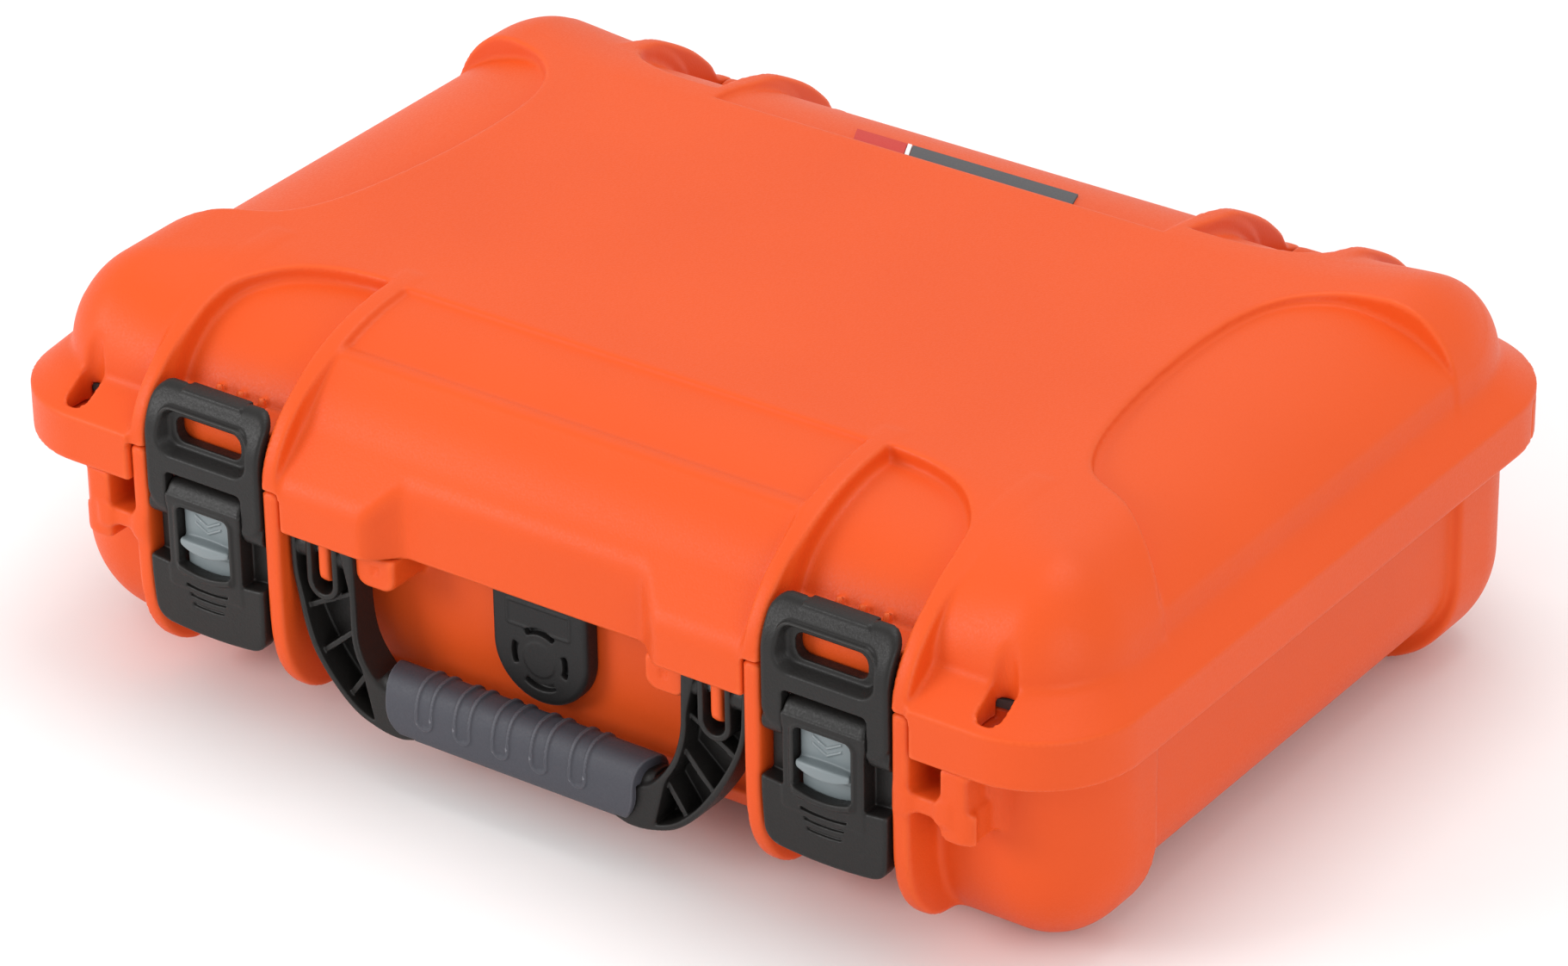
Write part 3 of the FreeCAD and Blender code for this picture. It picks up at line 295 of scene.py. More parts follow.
def steel(name):
    n = Nodes(name)
    scratch = n.noise(900.0, 4.0, 0.7)
    n.link(n.mix(scratch, (0.42, 0.42, 0.43), (0.62, 0.62, 0.63)), n.shader.inputs["Base Color"])
    n.link(n.spread(scratch, 0.3, 0.7, 0.25, 0.42), n.shader.inputs["Roughness"])
    n.link(n.bump(scratch, 0.00002), n.shader.inputs["Normal"])
    n.shader.inputs["Metallic"].default_value = 1.0
    return n.material


ORANGE = moulded_plastic("shell_orange_plastic", (0.72, 0.083, 0.010), (0.69, 0.077, 0.009),
                         (0.80, 0.12, 0.025), 0.46, specular=0.24)
BLACK = moulded_plastic("hardware_black_plastic", (0.012, 0.0105, 0.0095), (0.010, 0.009, 0.0085),
                        (0.036, 0.034, 0.032), 0.44, specular=0.3)
VALVE = moulded_plastic("valve_black_plastic", (0.013, 0.012, 0.012), (0.011, 0.0105, 0.0105),
                        (0.036, 0.035, 0.035), 0.50, specular=0.3)
GREY = moulded_plastic("slider_grey_plastic", (0.20, 0.23, 0.24), (0.17, 0.20, 0.21),
                       (0.33, 0.36, 0.37), 0.42, grain=0.00002)
GRIP = moulded_plastic("grip_soft_rubber", (0.047, 0.048, 0.061), (0.042, 0.043, 0.055),
                       (0.16, 0.16, 0.18), 0.62, grain=0.00005)
SEAL = moulded_plastic("seal_rubber", (0.02, 0.02, 0.02), (0.015, 0.015, 0.015), (0.05, 0.05, 0.05), 0.7)
MEMBRANE = moulded_plastic("breathable_membrane", (0.8, 0.8, 0.78), (0.72, 0.72, 0.70),
                           (0.85, 0.85, 0.85), 0.9, grain=0.00003, grain_scale=4000.0)
PLATE = moulded_plastic("plate_dark_paint", (0.085, 0.082, 0.085), (0.075, 0.072, 0.076),
                        (0.10, 0.097, 0.10), 0.6, grain=0.00001, specular=0.1)
PLATE_END = moulded_plastic("plate_red_paint", (0.50, 0.045, 0.035), (0.46, 0.040, 0.032),
                            (0.54, 0.06, 0.05), 0.6, grain=0.00001, specular=0.1)
PLATE_BAR = moulded_plastic("plate_white_paint", (0.75, 0.74, 0.74), (0.70, 0.69, 0.69),
                            (0.8, 0.8, 0.8), 0.4, grain=0.00001)
STEEL = steel("pin_steel")


# ---------------------------------------------------------------- sizes, in millimetres

STEP = 1.0
FINE = 0.4
PARTING, GAP = 78.0, 0.3
BELT_LOW, BELT_HIGH, CREASE, DOME_FOOT, TOP = 66.4, 81.0, 88.8, 88.0, 116.5
BELT_HALF = 181.5
DOME_HALF, DOME_FRONT, DOME_BACK, BACK_FALL = 173.6, -125.0, 112.0, 49.0
MIDDLE_HALF = 77.8
LATCH_BAY = (83.1, 124.6)
RIBS = ((MIDDLE_HALF, LATCH_BAY[0]), (LATCH_BAY[1], 129.9))
FINS = ((77.0, 82.0), (120.0, 125.0))
LATCH_X = 103.9
HINGE = (130.5, 78.0)
KNUCKLE = 7.5
HANDLE_PIVOT = (-129, 61.5)
LOOSE_BORE, TIGHT_BORE = 2.05, 2.02


def wall_plan(g):
    """The outside of the wall from above, where the base's tongue meets the lid's groove."""
    return plan(g, 174.5, -122, 110, 26)


# ---------------------------------------------------------------- lid

def dome(g):
    """The lid's dome before its bays are cut: steep sides, long soft falls to front and back."""
    corner = step_up(np.abs(g.x), 118, 158)
    front_fall = 49.5 - 22 * corner
    back_fall = BACK_FALL - 13 * corner
    side_fall = 24.0
    high = TOP - DOME_FOOT
    p = np.maximum(np.abs(g.x) - (DOME_HALF - side_fall), 0) / side_fall
    q_front = np.maximum(DOME_FRONT + front_fall - g.y, 0) / front_fall
    q_back = np.maximum(g.y - DOME_BACK + back_fall, 0) / back_fall
    q = q_front + q_back
    fall = np.where(q_front > 0, front_fall, back_fall)
    r = np.maximum(g.z - DOME_FOOT, 0) / high
    length = np.sqrt(p * p + q * q + r * r)
    steep = np.sqrt((p / side_fall) ** 2 + (q / fall) ** 2 + (r / high) ** 2)
    return (length - 1) * np.where(length > 0.2, length / np.maximum(steep, 1e-4), 20)


def side_scallop(g):
    """The bean-shaped hollow over each side of the dome, seen from above."""
    edge = smooth_path([(196, 62), (172, 67), (152, 66), (138, 62), (127, 51), (121.5, 34), (120.5, 8),
                        (123, -20), (128, -44), (136, -59), (150, -67), (166, -78), (180, -88), (196, -92)])
    return polygon(g.x, g.y, edge)


def latch_bay(g):
    """The hollow above each latch, seen from above."""
    inner, outer = LATCH_BAY
    arc = smooth_path([(inner, -77), (92, -77.6), (101, -79.5), (110, -83.5), (117, -89.5), (122, -97),
                       (outer, -108)])
    return polygon(g.x, g.y, arc + [(outer, -145), (inner, -145)])


def hinge_bay(g):
    """The hollow above each hinge, seen from above."""
    arc = smooth_path([(120, 96), (118.5, 88), (113, 80.5), (104, 76.5), (93, 75), (82, 75)])
    return polygon(g.x, g.y, arc + [(82, 140), (120, 140)])


def fin_outline(g):
    """A rear fin from the side: an arched back that ends in the hinge knuckle."""
    back = smooth_path([(66, 108), (74, 112), (86, 112.8), (96, 111.4), (104.5, 107.8), (115.7, 101),
                        (124.8, 93), (129, 87), (136, 82)])
    plate = polygon(g.y, g.z, back + [(132, 76), (112, 72), (66, 90)])
    return either(plate, disc(g.y, g.z, HINGE, KNUCKLE), 2)


def set_back(g):
    """How far the middle of the mouth is drawn back to leave room for the hand."""
    return 8 * (1 - step_up(np.abs(g.x), 38.5, 50.5))


def skirt(g):
    """The front apron between the inner ribs."""
    face = -137 + set_back(g)
    slope = ((g.z - 97.5) - 1.03 * (g.y + 120.5)) / 1.436
    apron = both(face - g.y, slope, 3)
    apron = both(apron, g.y + 105)
    return both(both(apron, np.abs(g.x) - 77.4, 0.6), between(g.z, BELT_LOW, 110), 1.0)


def belt(g):
    """The lid's belt: upright, then sloping in to the crease at the dome's foot."""
    rise = np.clip((g.z - BELT_HIGH) / (CREASE - BELT_HIGH), 0, 1.6)
    half = BELT_HALF - 7.9 * rise
    front, back = -138 + 13 * rise, 124 - 12 * rise
    radius = np.where(g.y < 0, 31.0, 36.5) - 9 * rise
    outer = rounded(g.x, g.y, (0, (front + back) / 2), (half, (back - front) / 2), radius)
    rim = both(outer, g.z - CREASE - 1.2, 2.5)
    return both(rim, BELT_LOW - g.z, 1.2)


def rib_ridge(g):
    return both(ellipse(g.y, np.maximum(g.z, 78), (-75, 78), (62.3, 38.0)), g.y + 70, 2)


def slabs(g, spans):
    """Upright slabs from front to back, one on each side for each span of widths."""
    shape = None
    for low, high in spans:
        slab = between(np.abs(g.x), low, high)
        shape = slab if shape is None else np.minimum(shape, slab)
    return shape


def padlock_eye(g):
    return capsule(np.abs(g.x), g.y, (152, -131.0), (152, -126.2), 3.8)


def latch_floor(g):
    """The rounded floor of the hollow above each latch."""
    return ellipse(np.minimum(g.y, -80), np.maximum(g.z, 84), (-80, 84), (39.8, 27.5))


def hollowed_dome(g, hull):
    """The dome with its side scallops and its front and rear bays."""
    ax = np.abs(g.x)
    middle = (122.6, DOME_FOOT)
    scallop_floor = ellipse(np.maximum(ax, middle[0]), np.maximum(g.z, middle[1]), middle, (52.4, 26.0))
    body = either(less(hull, side_scallop(g), 1.2), both(scallop_floor, hull + 0.6), 1.5)
    middle_bay = both(ax - MIDDLE_HALF, g.y + 78)
    body = either(less(body, middle_bay, 1.0), both(hull + 1.6, middle_bay - 4), 1.5)
    bay = latch_bay(g)
    floor = both(hull + 1.0, latch_floor(g), 1.0)
    body = either(less(body, bay, 1.2), both(floor, bay - 4), 2.0)
    rear_bay = both(ax - 77, 68 - g.y)
    body = either(less(body, rear_bay, 1.0), both(hull + 1.8, rear_bay - 4), 1.5)
    hollow = hinge_bay(g)
    return either(less(body, hollow, 1.2), both(hull + 4.5, hollow - 4), 2.0)


def lid_outside(g, hull):
    """The dome with its belt, apron, ribs, fins, latch rails and their small teeth."""
    ax = np.abs(g.x)
    ring = less(belt(g), both(ax - 130.2, g.y + 100), 0.5)
    body = either(hollowed_dome(g, hull), ring, 2.5)
    body = both(body, BELT_LOW - g.z)
    body = either(body, skirt(g), 2.0)
    ribs = both(both(slabs(g, RIBS), rib_ridge(g), 1.6), PARTING + GAP - g.z, 0.5)
    body = either(body, ribs, 2.2)
    fins = both(slabs(g, FINS), fin_outline(g), 1.4)
    body = either(body, fins, 2.0)
    rail = both(both(between(ax, 83, 125), between(g.y, -128.8, -117)), between(g.z, 79, 91.5), 1.2)
    body = either(body, rail, 1.0)
    floor = latch_floor(g)
    for offset in (-7.5, 0, 7.5):
        tooth = both(both(around(ax, LATCH_X + offset, 1.3), floor - 2.0, 0.6), g.y + 118.0, 0.8)
        body = either(body, both(tooth, 86 - g.z), 0.4)
    return body


def lid_field(g):
    hull = dome(g)
    body = lid_outside(g, hull)
    ax = np.abs(g.x)
    under_edge = g.z - PARTING - GAP
    # the inside, and the mouth that takes the base's flange
    inside = both(plan(g, 169.6, -118.8, 106.8, 21), body + 3.2, 3)
    inside = both(inside, hull + 3.6, 2)
    mouth = both(plan(g, 178.6, -135.1, 121, 32.5), under_edge)
    mouth = both(mouth, set_back(g) - 134.2 - g.y)
    body = less(body, mouth, 0.6)
    body = less(body, inside, 0.8)
    # groove for the base's tongue
    body = less(body, both(between(wall_plan(g), -1.8, 1.5), g.z - PARTING - 5.5), 0.3)
    # below its edge the lid makes way for the base's rear belt, and for the ribs and latches in front
    body = less(body, both(97.5 - g.y, under_edge))
    body = less(body, both(both(ax - 130.3, 77.4 - ax), both(g.y + 119.5, under_edge)), 0.4)
    # room for the base's hinge barrel, the pin and the padlock eyes
    barrel_room = both(disc(g.y, g.z, HINGE, KNUCKLE + 0.8), both(82 - ax, ax - 120))
    body = less(body, barrel_room, 0.4)
    body = less(body, both(disc(g.y, g.z, HINGE, LOOSE_BORE), 97 - g.y))
    return less(body, padlock_eye(g), 1.2)


# ---------------------------------------------------------------- base

def tub(g):
    """Base walls and underside: the middle is drawn in and up, the four corners stand on the floor."""
    ax = np.abs(g.x)
    outer = round_edge(wall_plan(g), -g.z, 32)
    corner = both(116 - ax, -both(-(g.y + 86), -(69 - g.y)), 2)
    feet = both(outer, corner, 2.0)
    inner = round_edge(plan(g, 172, -122, 110, 25), 8.5 - g.z, 27)
    return both(either(feet, inner, 2.0), g.z - PARTING, 0.5)


def base_rib_outline(g):
    front = smooth_path([(-137, 78), (-137, 60), (-137, 44), (-136.4, 32), (-134, 22.5), (-128.5, 14.5),
                         (-120, 9.5), (-105, 8)])
    return polygon(g.y, g.z, front + [(-100, 78)])


def base_outside(g):
    """Walls with the hand recess, the mouth flange, the rear belt and the ribs beside the latches."""
    ax = np.abs(g.x)
    recess = both(both(ax - MIDDLE_HALF, g.y + 116.8), between(g.z, 24, 90), 2.5)
    body = less(tub(g), recess, 1.5)
    flange = both(plan(g, 177.8, -134.3, 120.3, 32), between(g.z, 75.5, PARTING), 0.4)
    flange = both(flange, set_back(g) - 133.4 - g.y, 0.4)
    flange = less(flange, both(between(ax, *LATCH_BAY), g.y + 125))
    body = either(body, flange, 1.0)
    rear = both(rounded(g.x, g.y, (0, -7), (BELT_HALF, 131), 36.5), between(g.z, BELT_LOW, PARTING), 0.8)
    body = either(body, both(rear, 98 - g.y, 0.3), 1.2)
    return either(body, both(slabs(g, RIBS), base_rib_outline(g), 1.6), 2.2)


def with_padlock_tabs(g, body):
    """The body with a tab under each padlock eye, the tab's web and the slot in its front."""
    ax = np.abs(g.x)
    tab = both(rounded(ax, g.y, (141.5, -117), (10.2, 19.4), 7.5), 139 - ax, 0.8)
    tab = both(tab, rounded(ax, g.z, (145.5, 64), (7.5, 20), 4.5), 2.0)
    tab = both(tab, np.where(g.y < -132.7, g.z - 65.9, g.z - 76.5))
    body = either(body, tab, 1.2)
    web = both(both(between(ax, 127, 142), between(g.y, -136.6, -118)), between(g.z, 50, 55.5), 1.0)
    body = either(body, web, 3.0)
    slot = both(rounded(ax, g.z, (149.4, 59.5), (2.3, 5.5), 2.0), g.y + 126)
    return less(body, slot, 0.8)


def with_handle_lugs(g, body):
    """The body with the handle's dimpled retaining lugs and the pivots of its fork."""
    ax = np.abs(g.x)
    lug = both(both(rounded(ax, g.z, (48.8, 66), (6.8, 10.4), 4), between(g.y, -132, -112), 1.2), g.z - 66)
    body = either(body, lug, 1.5)
    body = less(body, both(disc(ax, g.z, (48.4, 61.4), 1.5), g.y + 131.2), 0.2)
    pivot = both(both(between(ax, 64.0, 67.8), rounded(g.y, g.z, (-124, 64), (9, 12), 4), 0.8), g.z - 76.5)
    return either(body, pivot, 0.8)


def with_hinge_barrels(g, body):
    """The body with a bored hinge barrel on a web behind the wall, one a side."""
    ax = np.abs(g.x)
    web = polygon(g.y, g.z, [(108, 76), (130, 77), (135, 72), (124, 60), (108, 50)])
    hinge = either(disc(g.y, g.z, HINGE, KNUCKLE), web, 1.5)
    body = either(body, both(both(82.4 - ax, ax - 119.6), hinge, 1.2), 1.5)
    return less(body, both(disc(g.y, g.z, HINGE, TIGHT_BORE), ax - 125))


def base_field(g):
    body = with_hinge_barrels(g, with_handle_lugs(g, with_padlock_tabs(g, base_outside(g))))
    inside = round_edge(plan(g, 168.2, -113, 105, 20), 11.5 - g.z, 20)
    body = less(body, inside, 1.0)
    tongue = both(between(wall_plan(g), -1.5, 1.2), between(g.z, 70, PARTING + 2.6), 0.5)
    body = either(body, tongue, 0.5)
    return less(body, both(padlock_eye(g), 43 - g.z), 0.8)


def shells():
    for body, field, low, high in (("lid", lid_field, 62, 122), ("base", base_field, -2, 88)):
        g = Grid((0, -142, low), (186, 142, high), STEP, mirrored=True)
        mesh = build_mesh(f"{body}_moulding", g, field(g))
        add_piece(f"{body}_moulding", mesh, body, ORANGE, (f"{body}_shell",))


# ---------------------------------------------------------------- latches

def claw_field(g):
    """Claw, about its own middle: a slot in a deep dish, a top that leans back and two curled legs."""
    au = np.abs(g.x)
    lean = 0.0333 * np.maximum(g.z - 83, 0) ** 2
    outline = rounded(g.x, g.z, (0, 80), (20.2, 18), 5)
    outline = both(outline, g.z - 97.4 - 0.6 * step_up(au, 10.0, 11.6), 0.4)
    face = -137.5 + lean - g.y
    back = g.y + 133.4 - 0.85 * lean
    plate = both(both(outline, face, 1.6), back, 0.8)
    boss = both(rounded(g.x, g.z, (0, 86.2), (15.6, 7.2), 4), between(g.y, -136, -129.5))
    plate = either(plate, boss, 0.6)
    plate = less(plate, rounded(g.x, g.z, (0, 60), (13.3, 13.6), 1.6), 0.8)
    dish = rounded(g.x, g.z, (0, 86.2), (15.8, 7.4), 5.2) + 0.5 * np.clip(g.y + 137.5, -3, 6)
    plate = less(plate, both(dish, g.y + 133.4, 0.6), 0.7)
    plate = less(plate, rounded(g.x, g.z, (0, 86.2), (11.4, 3.9), 3.0), 0.5)
    legs = between(au, 13.3, 20.2)
    curl = both(legs, disc(g.y, g.z, (-133.5, 62), 3.6), 0.8)
    plate = either(plate, curl, 1.0)
    hook = both(both(au - 10.5, between(g.y, -131.5, -125.5)), between(g.z, 94.8, 97.6), 0.8)
    return either(plate, hook, 0.8)


def lever_field(g):
    """Lever: a neck under the pivot barrel, a window for the slider and a wide thumb tab."""
    au = np.abs(g.x)
    smile = 0.020 * g.x ** 2
    face = -138.0 + 0.010 * np.maximum(46 - g.z, 0) ** 1.3 - g.y
    slab = both(face, g.y + 132.0, 0.8)
    neck = both(rounded(g.x, g.z, (0, 56), (12.9, 17), 1.2), slab, 0.8)
    barrel = both(disc(g.y, g.z, (-132.6, 66.2), 5.2), au - 12.9, 1.0)
    neck = either(both(neck, g.z - 67, 0.4), barrel, 1.5)
    side = 20 - 0.05 * np.maximum(40 - g.z, 0)
    tab = both(both(au - side, g.z - 46 + 0.10 * (20 - au), 1.0), 24.4 + 0.004 * g.x ** 2 - g.z, 5)
    tab = both(tab, slab, 1.2)
    lever = either(neck, tab, 0.8)
    web = both(rounded(g.x, g.z, (0, 50), (19.6, 7.6), 1), between(g.y, -132.6, -131.4), 0.4)
    lever = either(lever, web, 0.6)
    rim = both(rounded(g.x, g.z, (0, 54.5), (10.4, 11.2), 3.4), between(g.y, -138.6, -134.6), 0.5)
    lip = both(both(around(g.z, 44.2 + smile, 1.1), au - 9.4, 0.5), between(g.y, -139.4, -135), 0.8)
    lever = either(either(lever, rim, 0.5), lip, 0.6)
    window = rounded(g.x, g.z, (0, 54.4), (9.0, 10.2), 2.0)
    lever = less(lever, both(window, 45.2 + smile - g.z, 0.8), 0.5)
    lever = less(lever, both(both(au - 9.0, between(g.z, 40, 48)), -135.6 - g.y))
    for low in (39.6, 36.8, 34.0):
        reach = 7.4 - 0.35 * (39.6 - low)
        line = both(around(g.z, low + 0.012 * g.x ** 2, 0.45), au - reach, 0.3)
        lever = less(lever, both(line, both(g.y + 136.9, -139 - g.y)), 0.3)
    return lever


def slider_field(g):
    """Slider: a sunk face with two chevrons and a thumb ledge that curves forward and down."""
    au = np.abs(g.x)
    face = both(rounded(g.x, g.z, (0, 57.2), (8.6, 6.8), 1.2), between(g.y, -135.6, -133.9), 0.5)
    bulge = 1.2 - 0.014 * g.x ** 2
    high = 55.2 - 0.008 * g.x ** 2
    low = 51.2 + 0.020 * g.x ** 2
    ledge = both(au - 8.6, both(g.z - high, low - g.z, 0.8), 0.8)
    ledge = both(ledge, both(-138.2 - bulge - g.y, g.y + 134), 1.0)
    foot = both(rounded(g.x, g.z, (0, 48.2), (8.2, 3.8), 1.0), between(g.y, -135.3, -134.35))
    slider = either(either(face, ledge, 0.6), foot, 0.6)
    for tip in (57.4, 59.6):
        arm = around(g.z, tip + 0.55 * au, 0.42)
        chevron = both(both(arm, au - 4.6), between(g.y, -136.1, -135), 0.3)
        slider = either(slider, chevron, 0.3)
    return slider


def latches():
    parts = (("claw", claw_field, (-21, -140, 57), (21, -123, 101), FINE, "hardware_black", BLACK),
             ("lever", lever_field, (-21.4, -141, 22), (21.4, -126, 73), FINE, "hardware_black", BLACK),
             ("slider", slider_field, (-10, -142, 42), (10, -132, 66), 0.75 * FINE, "slider_grey", GREY))
    for body, field, low, high, step, slot, material in parts:
        g = Grid(low, high, step)
        mesh = build_mesh(f"{body}_moulding", g, field(g))
        for side, sign in SIDES.items():
            name = f"{body}_moulding_{side}"
            placed = moved_copy(mesh, name, (sign * LATCH_X, 0, 0))
            add_piece(name, placed, f"{body}_{side}", material, (f"latch_{body}_{side}",))


# ---------------------------------------------------------------- handle

ARM_OUTER = [(76.8, 67), (76.8, 60), (76.2, 52), (73.6, 43), (69.0, 33.6), (62.5, 24.4), (54.5, 17.2),
             (46, 14.0), (39, 13.3), (34, 14.5)]
ARM_INNER = [(34, 26.0), (43, 27.0), (48.4, 31.0), (52.6, 37.4), (54.4, 45), (54.8, 54), (55.0, 62),
             (55.2, 67)]


def arm_outline(g, inset=0.0):
    return polygon(np.abs(g.x), g.z, smooth_path(ARM_OUTER) + smooth_path(ARM_INNER)) + inset


def handle_field(g):
    """Handle frame: forked arms with a raised rim round cored pockets, and a bar under the grip."""
    ax = np.abs(g.x)
    outline = arm_outline(g)
    sweep = 2.6 * (1 - step_up(g.z, 30, 50))
    plate = both(outline, between(g.y, -133.6 - sweep, -124.8), 1.2)
    bar = both(ax - 46, rounded(g.y, g.z, (-130.2, 23), (4.6, 7.6), 3.5), 0.4)
    frame_shape = either(plate, bar, 1.5)
    pocket = both(arm_outline(g, 2.0), g.y + 127.0, 0.8)
    pocket = both(pocket, 48.5 - ax + 0.25 * (g.z - 20), 0.8)
    # cross ribs inside the pockets
    middle_x, middle_z = 22.0, 70.0
    turn = np.degrees(np.arctan2(middle_z - g.z, ax - middle_x))
    for angle in (28.0, 41.0, 54.5):
        away = np.abs(turn - angle) * np.pi / 180 * np.hypot(ax - middle_x, g.z - middle_z) - 0.8
        pocket = less(pocket, both(away, -131.6 - sweep - g.y), 0.4)
    pocket = less(pocket, disc(g.y, g.z, HANDLE_PIVOT, 3.9), 0.4)
    loop = capsule(ax, g.z, (65.9, 80), (65.9, 53), 3.5)
    pocket = less(pocket, loop - 1.9, 0.4)
    frame_shape = less(frame_shape, pocket, 0.8)
    frame_shape = less(frame_shape, loop, 0.6)
    pin = disc(g.y, g.z, HANDLE_PIVOT, LOOSE_BORE)
    return less(frame_shape, both(pin, 50 - ax))


def grip_field(g):
    """Grip: a soft rounded sleeve with hollowed ends and five U-shaped finger ridges."""
    ax = np.abs(g.x)
    tilt_z = g.z - 23.4
    section = ((np.abs(tilt_z) / 10.2) ** 2.6 + (np.abs(g.y + 131.0) / 7.3) ** 2.6) ** (1 / 2.6)
    sleeve = (section - 1) * 7.6
    end = 44.2 - 0.24 * np.maximum(-128 - g.y, 0) - 0.05 * np.maximum(24 - g.z, 0) ** 2
    sleeve = both(sleeve, ax - end, 0.5)
    ridge = None
    for number in range(-2, 3):
        u = g.x - 13.0 * number + 2.2
        loop = np.abs(capsule(u, g.z, (0, 40), (0, 24.0), 2.5)) - 0.55
        ridge = loop if ridge is None else np.minimum(ridge, loop)
    sleeve = either(sleeve, both(ridge, sleeve - 0.55), 0.5)
    core = both(rounded(g.y, g.z, (-130.2, 23), (4.4, 7.4), 3.2), ax - 38)
    arm = both(arm_outline(g, -0.15), between(g.y, -136.4, -124.6))
    return less(less(sleeve, core), arm)


def handle():
    g = Grid((0, -138.5, 12), (78.5, -122.5, 68.5), FINE, mirrored=True)
    mesh = build_mesh("handle_moulding", g, handle_field(g))
    add_piece("handle_moulding", mesh, "handle", BLACK, ("handle_frame",))
    g = Grid((-48, -139.5, 11), (48, -122, 35), FINE)
    mesh = build_mesh("grip_sleeve", g, grip_field(g))
    add_piece("grip_sleeve", mesh, "handle", GRIP, ("handle_grip",))


# ---------------------------------------------------------------- valve and plate

def valve_field(g):
    """Pressure valve: a shield with a framed panel above a ring of arc-shaped vents."""
    middle_z, ring_radius = 45, 8.6
    shield = both(capsule(g.x, g.z, (0, 47), (0, 90), 16), g.z - 64.2, 0.8)
    cap = both(shield, between(g.y, -122.6, -116.4), 2.0)
    frame_edge = np.abs(rounded(g.x, g.z, (0, 57.6), (10.5, 3.6), 0.8)) - 0.35
    cap = either(cap, both(frame_edge, between(g.y, -122.9, -122)), 0.3)
    from_middle = np.hypot(g.x, g.z - middle_z)
    ring = around(from_middle, ring_radius, 0.95)
    turn = np.degrees(np.arctan2(g.z - middle_z, g.x))
    arcs = None
    for middle, half in ((0, 22), (90, 34), (180, 22), (-90, 34)):
        away = (np.abs((turn - middle + 180) % 360 - 180) - half) * np.pi / 180 * ring_radius
        arc = both(ring, away, 0.5)
        arcs = arc if arcs is None else np.minimum(arcs, arc)
    cap = less(cap, both(arcs, g.y + 120.2), 0.4)
    button = both(from_middle - 5.4, between(g.y, -122.9, -121), 0.5)
    return either(cap, button, 0.3)


def valve():
    g = Grid((0, -124.5, 29), (17.5, -115.5, 66), FINE, mirrored=True)
    mesh = build_mesh("valve_cap_moulding", g, valve_field(g))
    add_piece("valve_cap_moulding", mesh, "base", VALVE, ("valve_cap",))


def lid_back_height(y):
    """Height of the lid's rear slope under the plate."""
    q = max(y - (DOME_BACK - BACK_FALL), 0) / BACK_FALL
    return DOME_FOOT + (TOP - DOME_FOOT) * math.sqrt(1 - q * q)


def plate_strip(name, near, far, material, lift):
    """A thin strip on the rear slope between two slanted ends, each given as x at its front and back."""
    front, back, thick = 69.0, 76.8, 1.2
    rows = []
    for y, t in ((front, 0.0), ((front + back) / 2, 0.5), (back, 1.0)):
        x_near = near[0] + (near[1] - near[0]) * t
        x_far = far[0] + (far[1] - far[0]) * t
        z = lid_back_height(y) + lift
        rows.append(((x_near, y, z), (x_far, y, z)))
    top = [p for row in rows for p in row]
    low = [(x, y, z - thick) for x, y, z in top]
    points = [tuple(c / 1000 for c in p) for p in top + low]
    faces = [(0, 1, 3, 2), (2, 3, 5, 4), (8, 9, 7, 6), (10, 11, 9, 8), (0, 6, 7, 1), (4, 5, 11, 10),
             (0, 2, 8, 6), (2, 4, 10, 8), (1, 7, 9, 3), (3, 9, 11, 5)]
    mesh = bpy.data.meshes.new(name)
    mesh.from_pydata(points, [], faces)
    mesh.update()
    return add_piece(name, mesh, "lid", material)


def name_plate():
    dark = plate_strip("plate_field", (-9.5, -13.5), (46, 43), PLATE, -1.1)
    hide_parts("name_plate")
    plate_strip("plate_end", (-29, -33), (-11.5, -15.5), PLATE_END, -1.1)
    plate_strip("plate_bar", (-11.2, -15.2), (-9.8, -13.8), PLATE_BAR, -1.0)


# ---------------------------------------------------------------- studio

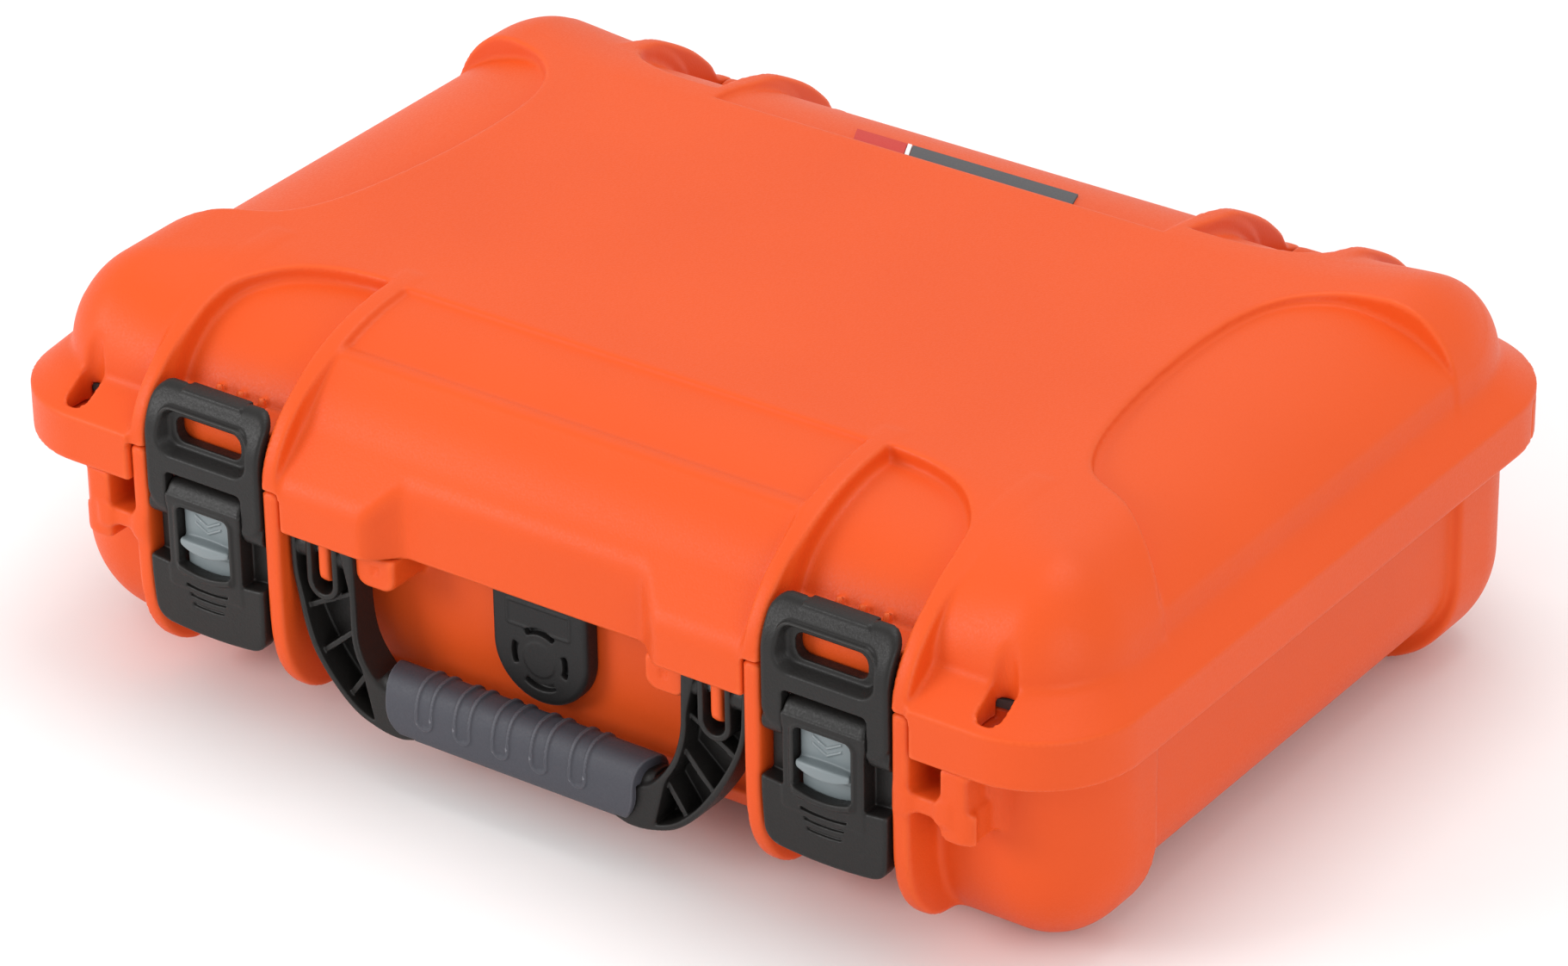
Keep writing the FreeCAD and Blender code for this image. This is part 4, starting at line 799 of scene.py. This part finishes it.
def studio():
    world = bpy.data.worlds.new("studio")
    world.use_nodes = True
    world.node_tree.nodes["Background"].inputs["Color"].default_value = (1, 1, 1, 1)
    world.node_tree.nodes["Background"].inputs["Strength"].default_value = 0.82
    bpy.context.scene.world = world

    def area(name, place, target, size, power):
        light = bpy.data.lights.new(name, "AREA")
        light.shape = "RECTANGLE"
        light.size, light.size_y = size
        light.energy = power
        lamp = bpy.data.objects.new(name, light)
        bpy.context.scene.collection.objects.link(lamp)
        lamp.location = place
        aim = Vector(target) - Vector(place)
        lamp.rotation_euler = aim.to_track_quat("-Z", "Y").to_euler()

    area("top_softbox", (0.1, 0.3, 1.6), (0, 0, 0.05), (1.2, 0.9), 9.5)
    area("left_softbox", (-1.1, -1.4, 0.8), (0, 0, 0.05), (0.8, 0.8), 15)
    area("right_softbox", (1.5, -0.9, 0.5), (0, 0, 0.05), (0.8, 0.8), 6)

    mesh = bpy.data.meshes.new("studio_floor")
    edge = 6.0
    corners = [(-edge, -edge, 0), (edge, -edge, 0), (edge, edge, 0), (-edge, edge, 0)]
    mesh.from_pydata(corners, [], [(0, 1, 2, 3)])
    floor = bpy.data.objects.new("studio_floor", mesh)
    bpy.context.scene.collection.objects.link(floor)
    n = Nodes("floor_paper")
    n.link(n.mix(n.noise(40.0), (0.88, 0.88, 0.88), (0.90, 0.90, 0.90)), n.shader.inputs["Base Color"])
    n.shader.inputs["Roughness"].default_value = 0.8
    mesh.materials.append(n.material)
    bpy.context.scene.view_settings.view_transform = "Standard"


def camera():
    """The photograph's viewing angle: from the front right, well above the case."""
    data = bpy.data.cameras.new("camera")
    data.sensor_width = 36
    data.lens = 147.1
    data.shift_x = -0.0103
    data.shift_y = -0.0263
    data.clip_end = 20
    cam = bpy.data.objects.new("camera", data)
    azimuth, elevation, roll = math.radians(35.49), math.radians(28.85), math.radians(-0.78)
    cam.location = (0.9202, -1.2907, 0.9294)
    back = Vector((math.sin(azimuth) * math.cos(elevation),
                   -math.cos(azimuth) * math.cos(elevation),
                   math.sin(elevation)))
    facing = (-back).to_track_quat("-Z", "Y").to_matrix()
    cam.rotation_euler = (facing @ Matrix.Rotation(roll, 3, "Z")).to_euler()
    bpy.context.scene.collection.objects.link(cam)
    bpy.context.scene.camera = cam


def carried_over():
    """Finishes for the CAD pieces that are shown as they are."""
    finishes = {"hinge_pin": STEEL, "handle_pin": STEEL, "latch_pivot_pin": STEEL, "latch_link_pins": STEEL,
                "slider_spring": STEEL, "gasket": SEAL, "valve_seal": SEAL, "valve_nut": VALVE,
                "valve_membrane": MEMBRANE}
    for name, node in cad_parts.items():
        for start, material in finishes.items():
            if name.startswith(start):
                node.data.materials.clear()
                node.data.materials.append(material)


shells()
latches()
handle()
valve()
name_plate()
carried_over()
studio()
camera()
